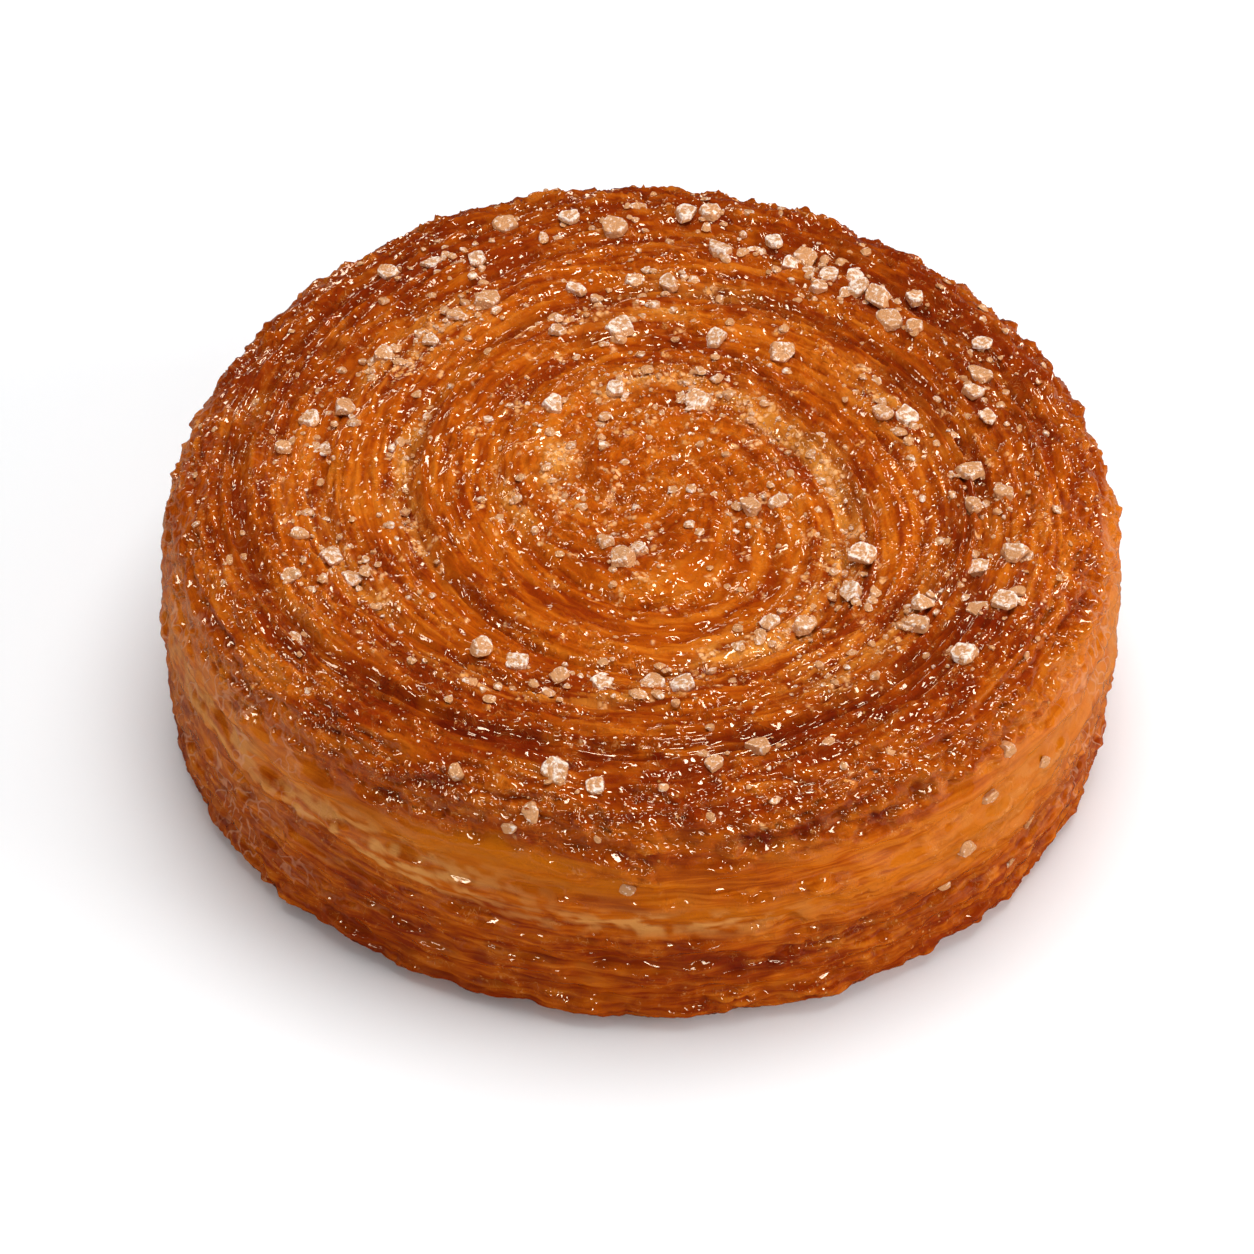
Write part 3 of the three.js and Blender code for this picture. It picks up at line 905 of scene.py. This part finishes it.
field = add(strand_group, "TexNoise", {"noise_dimensions": "4D"}, Vector=spot.outputs[0],
            W=fourth, Scale=1.0, Detail=1.0)
strand_group.links.new(field.outputs[0], result.inputs["Value"])
crest = crest_along(strand_group, field.outputs[0], 0.2)
strand_group.links.new(crest, result.inputs["Crest"])
print("groups:", [group.name for group in bpy.data.node_groups])


# %% [markdown]
# ## The caramel crust
# Caramel is a clear brown glass over baked dough. The Principled shader's coat is that glass:
# smooth, and reflecting the lamps in points. The base under it doesn't shine, and its colour
# is mixed from named ones, in this order: ambers by the strands, gold where the dough opened
# late, honey and cream where the film on the side is thin or torn, mahogany where the caramel
# pooled, a burnt brown in the hollows that is partly pooled caramel and partly painted shade,
# frost for crumbs of sugar, and last painted highlights: amber glint lines and specks on the
# wrinkles where the caramel foamed, and a net of painted sheen at both ends of the side. The
# bump has only what is too fine for the mesh.

# %% Crust colours
AMBER_DEEP = (0.28, 0.030, 0.001)
AMBER = (0.48, 0.084, 0.0018)
AMBER_PALE = (0.64, 0.155, 0.008)
GOLD = (0.76, 0.28, 0.035)
HONEY = (0.57, 0.140, 0.0025)
CREAM = (0.66, 0.27, 0.065)
DARK_MAHOGANY = (0.17, 0.012, 0.0008)
# A burnt brown, also used as painted shade in the hollows.
BURNT_AND_SHADE = (0.12, 0.009, 0.0006)
FROST = (0.88, 0.36, 0.08)
FROST_PALE = (0.98, 0.56, 0.27)
# Painted sheen for the flanks.
PAINTED_SHEEN = (0.74, 0.36, 0.20)
# Painted highlight: the colour of glint lines and specks.
PAINTED_GLINT_AMBER = (0.82, 0.38, 0.11)


# %% The crust's material, and sums in few words
crust_material = bpy.data.materials.new("caramel crust")
crust_material.use_nodes = True
tree = crust_material.node_tree
shader = tree.nodes["Principled BSDF"]


def stored(name):
    return add(tree, "Attribute", {"attribute_name": name}).outputs["Fac"]


def spread(value, start, end):
    """Stretches the values from start to end over 0 to 1."""
    return add(tree, "MapRange", Value=value, From_Min=start, From_Max=end).outputs[0]


def times(first, second):
    return calculate(tree, "MULTIPLY", first, second, clamp=True)


def plus(start, value, weight):
    """A number or value with a weighted value added to it."""
    return calculate(tree, "MULTIPLY_ADD", value, weight, third=start)


def bump_of(heights):
    """The bump of several values, each with its height in millimetres."""
    relief = 0.0
    for value, millimetres in heights:
        relief = calculate(tree, "ADD", relief, calculate(tree, "MULTIPLY", value, millimetres))
    return add(tree, "Bump", Height=relief, Distance=MM, Strength=1.0).outputs[0]


# %% Mix the crust's colour
fine_strands = use(tree, strand_group, Length=3.5, Number=50.0)
patches = use(tree, mottle_group, Size=3.0, Detail=2.0)
small_patches = use(tree, mottle_group, Size=1.1, Detail=2.0)
curls = use(tree, wrinkle_group, Size=1.0, Bend=1.6)
net = use(tree, wrinkle_group, Size=1.6, Bend=0.3)
granules = use(tree, granule_group, Size=0.55)
glint_dots = use(tree, granule_group, Size=0.9)
layers = use(tree, strand_group, Length=6.0, Number=42.0)
sugared = stored("sugared")

tone = calculate(tree, "ADD", plus(-0.4, fine_strands.outputs["Value"], 0.8), stored("tone"))
flecks = plus(-0.55, small_patches.outputs[0], 1.1)
tone = plus(tone, flecks, plus(0.2, stored("busy"), 0.8))
tone = plus(tone, plus(-0.8, layers.outputs["Value"], 1.6), stored("side"))
colour = blend(tree, spread(tone, 0.1, 0.6), AMBER_DEEP, AMBER)
colour = blend(tree, spread(tone, 0.6, 1.0), colour, AMBER_PALE)
golden_patches = spread(calculate(tree, "ADD", patches.outputs[0], tone), 0.6, 1.2)
colour = blend(tree, times(stored("golden"), golden_patches), colour, GOLD)
colour = blend(tree, times(stored("glow"), 0.9), colour, HONEY)
colour = blend(tree, stored("cream"), colour, CREAM)
brown_share = times(stored("browned"), spread(patches.outputs[0], 0.25, 0.6))
colour = blend(tree, brown_share, colour, DARK_MAHOGANY)
# Painted shade in the hollows and clefts, partly pooled caramel.
colour = blend(tree, stored("hollow_shade"), colour, BURNT_AND_SHADE)
frost = blend(tree, granules.outputs["Tone"], FROST, FROST_PALE)
grain_share = times(sugared, spread(granules.outputs["Dome"], 0.55, 0.9))
colour = blend(tree, times(grain_share, 0.9), colour, frost)
# Painted highlights: thin glint lines along wrinkle crests and glint specks on small domes,
# painted in amber where the caramel foamed.
glint_line_places = spread(small_patches.outputs[0], 0.50, 0.58)
glint_lines = times(spread(curls.outputs[0], 0.8, 1.0), glint_line_places)
glint_speck_places = spread(glint_dots.outputs["Tone"], 0.68, 0.78)
glint_speck = times(spread(glint_dots.outputs["Dome"], 0.965, 0.985), glint_speck_places)
light = times(plus(glint_speck, glint_lines, 0.7), stored("busy"))
# Painted glints.
colour = blend(tree, times(light, 0.6), colour, PAINTED_GLINT_AMBER)
# Painted sheen: a net of pale lines at both ends of the side.
sheen_net_share = times(spread(net.outputs[0], 0.4, 1.0), stored("sheen_net"))
colour = blend(tree, times(sheen_net_share, 0.45), colour, PAINTED_SHEEN)
tree.links.new(colour, shader.inputs["Base Color"])


# %% Crust bump and gloss
curled = calculate(tree, "MAXIMUM", stored("busy"), 0.5)
bump = bump_of([
    (fine_strands.outputs["Crest"], 0.018),
    (times(curls.outputs[0], curled), 0.06),
    (glint_speck, 0.05),
    (times(layers.outputs["Crest"], stored("side")), 0.03),
    (sheen_net_share, 0.07),
    (times(granules.outputs["Dome"], sugared), 0.10),
])
tree.links.new(bump, shader.inputs["Normal"])

roughness = add(tree, "MapRange", Value=patches.outputs[0], From_Min=0.3, From_Max=0.7,
                To_Min=0.22, To_Max=0.5)
tree.links.new(roughness.outputs[0], shader.inputs["Roughness"])
tree.links.new(stored("glaze"), shader.inputs["Coat Weight"])
shader.inputs["Coat Roughness"].default_value = 0.05
shader.inputs["Coat IOR"].default_value = 1.6
shader.inputs["IOR"].default_value = 1.45
shader.inputs["Specular IOR Level"].default_value = 0.0

crust.data.materials.append(crust_material)
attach(crust, "root")
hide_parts("pastry")
print("crust done")


# %% [markdown]
# ## Coarse sugar
# The baker strews coarse sugar: flat broken chips that lie nearly level, half sunk in the
# caramel. A chip is a ball cut by planes: two close ones above and below, five to seven
# round it and three across its corners. Its edges are painted paler, as a painted glint along
# the rims, and its middle takes the colour of the caramel, low down partly as crust painted as
# if seen through the clear sugar. So each point keeps how near an edge it lies. The large
# chips lie where the solid has them, by the same rule with the same chance numbers.

# %% The chance numbers that the solid uses too
def chance_from(seed):
    state = seed
    while True:
        state = (state * 1664525 + 1013904223) % 2**32
        yield state / 2**32


# %% Rows of large crystals
SUGAR_ROWS = [  # angles from and to in degrees, radius, width, number of crystals
    (56, 84, 38.8, 6, 8),
    (36, 58, 37, 7, 7),
    (11, 30, 39, 6, 4),
    (12, 20, 27.7, 3, 2),
    (-11, -1, 35.5, 5, 3),
    (-44, -16, 38.5, 8, 7),
    (-66, -30, 28.5, 5, 4),
    (-128, -79, 31.8, 1.5, 6),
    (-112, -62, 41.5, 7, 4),
    (-166, -145, 37.5, 11, 5),
    (160, 178, 34, 10, 4),
    (128, 150, 31, 3, 3),
    (88, 132, 40.5, 6, 7),
    (72, 124, 30.5, 3, 4),
    (48, 128, 22.5, 2, 4),
    (-110, -88, 14.5, 5, 3),
    (-36, -20, 13, 5, 2),
    (56, 150, 12, 4, 3),
]
CRYSTAL_GAP = 2.4
CRYSTAL_SUNK = 0.22
KNOBS = 0.4  # mm across
SEED = 28565

# The edge band is painted paler, as a painted glint along the rims, and worn round.
EDGE_WIDTH = 0.07  # of a chip's pale edge, where its half size is 1
EDGE_WORN = 0.05
# Low down, where it sits in the caramel, a chip is stained and also painted amber, as if the
# crust showed through the clear sugar.
SUNK_STAIN_AND_SEEN_CRUST = 1.2  # how much more a chip is stained where it is in the caramel


def spread_crystals():
    """Place, radius, angle and size of each large crystal. The solid turns each by three more
    chance numbers, which are passed over here."""
    chance = chance_from(SEED)
    kept = []
    for start, end, row_radius, width, count in SUGAR_ROWS:
        stretch = (end - start) / count
        laid = 0
        while laid < count:
            at = math.radians(start + stretch * (laid + next(chance)))
            reach = row_radius + width * (next(chance) - 0.5)
            across = 2.0 + 1.0 * next(chance) ** 1.5
            for _ in range(3):
                next(chance)
            place = (reach * math.cos(at), reach * math.sin(at))
            if all(math.dist(place, other[0]) > CRYSTAL_GAP for other in kept):
                kept.append((place, reach, at, across))
                laid += 1
    return kept


crystals = spread_crystals()
print(len(crystals), "large crystals")


# %% The faces of one chip
def ball(levels):
    """Points and triangles of a ball with unit radius."""
    made = bpy.data.meshes.new("ball")
    shape = bmesh.new()
    bmesh.ops.create_icosphere(shape, subdivisions=levels, radius=1)
    shape.to_mesh(made)
    shape.free()
    corners = np.array([vertex.co[:] for vertex in made.vertices])
    triangles = np.array([face.vertices[:] for face in made.polygons])
    bpy.data.meshes.remove(made)
    return corners, triangles


def chip_planes(rng, sides):
    """Outward directions and distances of a chip's faces: flat top, cut sides and corners."""
    around = TURN * (np.arange(sides) + rng.uniform(-0.35, 0.35, sides)) / sides
    rise = rng.uniform(-0.15, 0.55, sides)
    level = np.cos(rise)
    walls = np.stack([np.cos(around) * level, np.sin(around) * level, np.sin(rise)], 1)
    lids = np.column_stack([rng.normal(0, 0.16, (2, 2)), [1, -1]])
    corners = rng.normal(size=(3, 3)) + [0, 0, 0.8]
    facing = np.concatenate([walls, lids, corners])
    facing /= np.linalg.norm(facing, axis=1)[:, None]
    ranges = ((0.6, 1.0, sides), (0.22, 0.34, 2), (0.62, 0.85, 3))
    return facing, np.concatenate([rng.uniform(*limits) for limits in ranges])


def towards(out, spin):
    """Axes of a chip that lies flat on the crust there, turned by a chance angle."""
    first = np.cross([math.sin(spin), math.cos(spin), 0], out)
    first /= np.linalg.norm(first)
    return np.stack([first, np.cross(out, first), out])


# %% Many chips as one piece
def chips(name, levels, centres, sizes, outs, seed, stains, knobs=0.0):
    """Cuts a ball by planes for each chip, roughens it, and joins all chips to one piece."""
    rng = np.random.default_rng(seed)
    corners, triangles = ball(levels)
    all_corners, all_triangles, all_edges, all_stains = [], [], [], []
    for number, (centre, size, out, stain) in enumerate(zip(centres, sizes, outs, stains)):
        facing, distance = chip_planes(rng, rng.integers(5, 8))
        reach = np.sort(distance / np.maximum(corners @ facing.T, 0.05), axis=1)
        edge = np.exp(-(reach[:, 1] - reach[:, 0]) / EDGE_WIDTH)
        reach = np.minimum(reach[:, 0], 1.1) - EDGE_WORN * edge
        if knobs:
            seat = corners * size / knobs + rng.uniform(0, 90, 3)
            away, chance, _ = nearest_spot(*seat.T)
            rise = 0.10 * (0.55 - away) + 0.12 * (chance - 0.5)
            reach = reach + rise * knobs * 2 / size
        shape = corners * reach[:, None] * rng.uniform(0.9, 1.12, 3)
        # Painted amber low down: partly stain, partly the crust painted as if seen through the
        # sugar.
        all_stains.append(stain + SUNK_STAIN_AND_SEEN_CRUST * ramp(-shape[:, 2], -0.2, 0.1))
        shape = shape @ towards(out, rng.uniform(0, TURN)) * size / 2 + centre
        all_corners.append(shape)
        all_triangles.append(triangles + number * len(corners))
        all_edges.append(edge)
    joined, joined_triangles = np.concatenate(all_corners), np.concatenate(all_triangles)
    piece = mesh_piece(name, joined, joined_triangles, smooth=False)
    store(piece, "edge", np.concatenate(all_edges))
    store(piece, "stain", np.concatenate(all_stains))
    print(f"{name}: {len(piece.data.polygons)} triangles")
    return piece


# %% Set the large crystals on the crust
def outwards(along, angle):
    """Direction straight out of the crust."""
    lean = section(along)[2]
    return np.stack([np.sin(lean) * np.cos(angle), np.sin(lean) * np.sin(angle), np.cos(lean)], 1)


def along_from_radius(reach):
    """Distance along the section of a point of the top or shoulder, from its radius."""
    lean_there = np.arcsin(np.clip((reach - top_radius) / SHOULDER, 0, 1))
    return np.where(reach < top_radius, reach, top_radius + SHOULDER * lean_there)


CHIP_FLATNESS = 0.4  # its height as a share of its width
CHIP_SWELL = 1.08  # makes up for what the cuts take from its width

places, reaches, angles, sizes = (np.array(column) for column in zip(*crystals))
crystal_along = along_from_radius(reaches / outline(angles))
under, _ = crust_point(crystal_along, angles)
middle_height = under[:, 2] + sizes * (0.5 - CRYSTAL_SUNK) * CHIP_FLATNESS
centres = np.column_stack([places, middle_height]) + SHIFT
crystal_outs = outwards(crystal_along, angles)
crystal_stains = np.random.default_rng(12).random(len(crystals)) ** 2
crystal_piece = chips("sugar_crystals", 4, centres, sizes * CHIP_SWELL, crystal_outs, 11,
                      crystal_stains, KNOBS)


# %% [markdown]
# ## Smaller sugar
# Between the large crystals lie broken ones of about a millimetre, and grains down to a
# fifth of that. Many broke off a large one and lie beside it, and many gathered in the golden
# streaks, because an open streak is sticky. So a share is thrown near the large ones and the
# others all over the top, where we keep those that the streaks want, and each is then set on
# the crust's own height. A few larger lumps slid onto the shoulder and the side.

# %% Places for small sugar
NEAR_SPREAD = 2.0
THROW = 4000  # places tried at a time


def thrown(count, seed, most_along, near):
    """Places over the top and shoulder: a share near the large crystals, the others by
    chance, even by area and kept by how golden it is there."""
    rng = np.random.default_rng(seed)
    beside = round(near * count)
    spots = places[rng.integers(len(places), size=beside)]
    spots = spots + rng.normal(0, NEAR_SPREAD, (beside, 2))
    beside_angle = np.arctan2(spots[:, 1], spots[:, 0])
    beside_radius = np.minimum(np.hypot(*spots.T) / outline(beside_angle), RADIUS - UPPER_INSET)
    kept_along, kept_angle = [*along_from_radius(beside_radius)], [*beside_angle]
    while len(kept_along) < count:
        at_along = most_along * np.sqrt(rng.random(THROW))
        at_angle = TURN * rng.random(THROW)
        fair = 0.05 + 0.12 * (1 - ramp(at_along, 10, 26))
        wanted = rng.random(THROW) < fair + 0.8 * streaks(GOLDEN, at_along, at_angle)
        kept_along.extend(at_along[wanted])
        kept_angle.extend(at_angle[wanted])
    return np.array(kept_along[:count]), np.array(kept_angle[:count])


# %% Strew broken crystals and grains, and set the lumps on the side
def strewn(name, levels, count, least, most, seed, most_along, sunk, near, least_stain):
    """A piece of many small chips, from least to most millimetres across. Sunk is the share
    of a chip that lies in the crust, and near the share of chips beside the large ones."""
    at_along, at_angle = thrown(count, seed, most_along, near)
    rng = np.random.default_rng(seed + 1)
    across = least + (most - least) * rng.random(count) ** 2
    on_crust, _ = crust_point(at_along, at_angle)
    outs = outwards(at_along, at_angle)
    middle = on_crust + outs * (across * (0.5 - sunk) * 0.6)[:, None] + SHIFT
    stains = least_stain + 0.9 * rng.random(count)
    return chips(name, levels, middle, across, outs, seed + 2, stains)


SIDE_LUMPS = [  # angle in degrees, distance along the section and size in mm
    (-113.6, 46.6, 2.0), (-103.2, 48.5, 2.2), (-105.8, 50.5, 1.8), (-81.6, 40.9, 2.2),
    (-64.7, 42.7, 1.8), (-38.8, 42.4, 1.9), (-25.3, 42.1, 2.0), (-17.8, 39.7, 2.2),
    (-91.7, 56.6, 1.7), (-49.5, 62.0, 2.3), (-45.6, 57.1, 2.3), (-42.8, 52.5, 2.2),
    (-41.0, 69.9, 2.0), (-38.0, 66.0, 1.7), (-52.0, 66.5, 1.6), (-36.0, 58.5, 1.6),
]
LUMP_PROUD = 0.05  # how far a lump's middle stands out, as a share of its size
LUMP_STAIN = 1.2

lump_angle, lump_along, lump_size = np.array(SIDE_LUMPS).T
lump_angle = np.radians(lump_angle)
on_crust, _ = crust_point(lump_along, lump_angle)
lump_outs = outwards(lump_along, lump_angle)
lump_middles = on_crust + lump_outs * (LUMP_PROUD * lump_size)[:, None] + SHIFT
lump_stains = np.full(len(SIDE_LUMPS), LUMP_STAIN)
lump_piece = chips("sugar_side", 3, lump_middles, lump_size, lump_outs, 41, lump_stains, KNOBS)

broken_piece = strewn("sugar_broken", levels=2, count=850, least=0.6, most=1.7, seed=21,
                      most_along=48, sunk=0.4, near=0.45, least_stain=0.2)
grain_piece = strewn("sugar_grains", levels=1, count=4500, least=0.2, most=0.5, seed=31,
                     most_along=50, sunk=0.5, near=0.2, least_stain=0.7)


# %% Sugar material
SUGAR_CLEAR = (0.96, 0.80, 0.68)
SUGAR_STAINED = (0.62, 0.285, 0.115)

sugar_material = bpy.data.materials.new("baked sugar")
sugar_material.use_nodes = True
tree = sugar_material.node_tree
shader = tree.nodes["Principled BSDF"]
cloud = use(tree, mottle_group, Size=0.6, Detail=3.0)
crumb = use(tree, granule_group, Size=0.33)
crack = use(tree, wrinkle_group, Size=0.7, Bend=0.5)
stain = plus(-1.3, cloud.outputs[0], 3.5)
stain = plus(stain, crumb.outputs["Tone"], 0.9)
stain = plus(stain, stored("stain"), 0.7)
stain = plus(stain, crack.outputs[0], -0.6)
# Painted glint: the edges are painted paler.
stain = calculate(tree, "SUBTRACT", stain, times(stored("edge"), 1.2), clamp=True)
tree.links.new(blend(tree, stain, SUGAR_CLEAR, SUGAR_STAINED), shader.inputs["Base Color"])
bump = bump_of([(crumb.outputs["Dome"], 0.08), (crack.outputs[0], 0.02)])
tree.links.new(bump, shader.inputs["Normal"])
tree.links.new(plus(0.06, cloud.outputs[0], 0.2), shader.inputs["Roughness"])
shader.inputs["IOR"].default_value = 1.5

for piece in (crystal_piece, lump_piece, broken_piece, grain_piece):
    piece.data.materials.append(sugar_material)
    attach(piece, "root")
    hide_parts("pastry")
print("materials:", [material.name for material in bpy.data.materials])


# %% [markdown]
# ## Floor, light and camera
# The pastry stands on a white sweep. Wide soft boxes light it, but they would lay a haze over
# the glaze, so they don't show in it. What glitters is small warm lamps that show in the
# glaze only: each makes a point of light on every wrinkle that faces it. For the same reason
# the sweep looks dark in the glaze, but for a sheen on the flanks.

# %% Floor
WHITE = (0.95, 0.96, 0.97)
FLAGGED = (0.05, 0.05, 0.05)  # how dark the sweep looks in the caramel, as if behind flags
SHEEN = (0.42, 0.32, 0.24)  # and how light beside the pastry, where no flag stands
SHEEN_FROM, SHEEN_TO = 45 * MM, 80 * MM
FLOOR_HALF = 2.0
FLOOR_GAP = 0.05 * MM

floor_mesh = bpy.data.meshes.new("floor")
corners = [(x * FLOOR_HALF, y * FLOOR_HALF, 0) for x, y in ((-1, -1), (1, -1), (1, 1), (-1, 1))]
floor_mesh.from_pydata(corners, [], [(0, 1, 2, 3)])
floor = bpy.data.objects.new("floor", floor_mesh)
floor.location.z = -FLOOR_GAP
bpy.context.scene.collection.objects.link(floor)
floor_material = bpy.data.materials.new("white sweep")
floor_material.use_nodes = True
tree = floor_material.node_tree
floor_shader = tree.nodes["Principled BSDF"]
in_gloss = add(tree, "LightPath").outputs["Is Glossy Ray"]
floor_place = add(tree, "SeparateXYZ", Vector=add(tree, "TexCoord").outputs["Object"])
off_middle = calculate(tree, "ABSOLUTE", floor_place.outputs["X"])
beside = add(tree, "MapRange", Value=off_middle, From_Min=SHEEN_FROM, From_Max=SHEEN_TO)
mirrored = blend(tree, beside.outputs[0], FLAGGED, SHEEN)
tree.links.new(blend(tree, in_gloss, WHITE, mirrored), floor_shader.inputs["Base Color"])
floor_shader.inputs["Roughness"].default_value = 0.9
floor_shader.inputs["Specular IOR Level"].default_value = 0.0
floor_mesh.materials.append(floor_material)


# %% Light
WHITE_LIGHT = (1, 1, 1)
WARM = (1.0, 0.84, 0.62)
AIM = Vector((0, 0, 0.02))
LIGHTING = [  # name, place, width and depth in metres, and watts
    ("overhead", (0.05, 0.12, 0.75), 0.60, 0.60, 4.7),
    ("right", (0.72, -0.18, 0.26), 0.50, 0.40, 3.8),
    ("front", (-0.2, -0.75, 0.35), 0.60, 0.40, 0.9),
]
GLEAMING = [
    ("gleam behind", (-0.25, 0.70, 0.30), 0.20, 0.12, 0.9),
    ("gleam above", (0.10, -0.15, 0.75), 0.16, 0.16, 2.6),
    ("gleam left", (-0.60, 0.05, 0.40), 0.12, 0.16, 1.0),
    ("gleam right", (0.62, -0.28, 0.50), 0.16, 0.16, 1.8),
    ("gleam front", (0.10, -0.65, 0.50), 0.16, 0.12, 1.0),
    ("gleam far right", (0.45, 0.55, 0.45), 0.14, 0.12, 1.2),
    ("gleam far left", (-0.45, -0.50, 0.55), 0.14, 0.12, 1.2),
    ("gleam low right", (0.35, -0.75, 0.12), 0.06, 0.04, 0.24),
    ("gleam low left", (-0.50, -0.65, 0.12), 0.06, 0.04, 0.24),
    ("gleam low", (-0.10, -0.85, 0.12), 0.08, 0.05, 0.4),
]


def lamp(name, place, width, depth, watts, gleams):
    """A soft box that faces the pastry. It only gleams in its glaze, or only lights it."""
    data = bpy.data.lights.new(name, "AREA")
    data.shape = "RECTANGLE"
    data.size, data.size_y, data.energy = width, depth, watts
    data.color = WARM if gleams else WHITE_LIGHT
    made = bpy.data.objects.new(name, data)
    made.location = place
    made.rotation_euler = (AIM - Vector(place)).to_track_quat("-Z", "Y").to_euler()
    made.visible_diffuse = made.visible_transmission = not gleams
    made.visible_glossy = gleams
    bpy.context.scene.collection.objects.link(made)


for gleams, lamps in ((False, LIGHTING), (True, GLEAMING)):
    for row in lamps:
        lamp(*row, gleams)
print(len(LIGHTING), "lamps light the pastry, and", len(GLEAMING), "gleam in it")


# %% World
WORLD_IN_GLAZE = 0.02
WORLD_ON_PASTRY = 0.32

world = bpy.data.worlds.new("studio")
world.use_nodes = True
tree = world.node_tree
sky = tree.nodes["Background"]
rays = add(tree, "LightPath")
level = plus(WORLD_IN_GLAZE, rays.outputs["Is Diffuse Ray"], WORLD_ON_PASTRY)
level = calculate(tree, "ADD", level, rays.outputs["Is Camera Ray"])
sky.inputs["Color"].default_value = (1, 1, 1, 1)
tree.links.new(level, sky.inputs["Strength"])
bpy.context.scene.world = world
bpy.context.scene.view_settings.view_transform = "Standard"


# %% Camera
CAMERA_ELEVATION = math.radians(44.1)
CAMERA_DISTANCE = 700 * MM
CAMERA_LENS = 190.5
CAMERA_SENSOR = 36
CAMERA_RIGHT = -1.503 * MM
CAMERA_UP = -5.295 * MM

camera_data = bpy.data.cameras.new("camera")
camera_data.lens = CAMERA_LENS
camera_data.sensor_width = CAMERA_SENSOR
camera = bpy.data.objects.new("camera", camera_data)
back = Vector((0, -math.cos(CAMERA_ELEVATION), math.sin(CAMERA_ELEVATION)))
right = Vector((1, 0, 0))
up = back.cross(right)
target = Vector((SHIFT[0], SHIFT[1], HEIGHT / 2)) * MM
camera.location = target + back * CAMERA_DISTANCE + right * CAMERA_RIGHT + up * CAMERA_UP
camera.rotation_euler = Matrix((right, up, back)).transposed().to_euler()
bpy.context.scene.collection.objects.link(camera)
bpy.context.scene.camera = camera
print(f"camera {CAMERA_DISTANCE:.1f} m away")
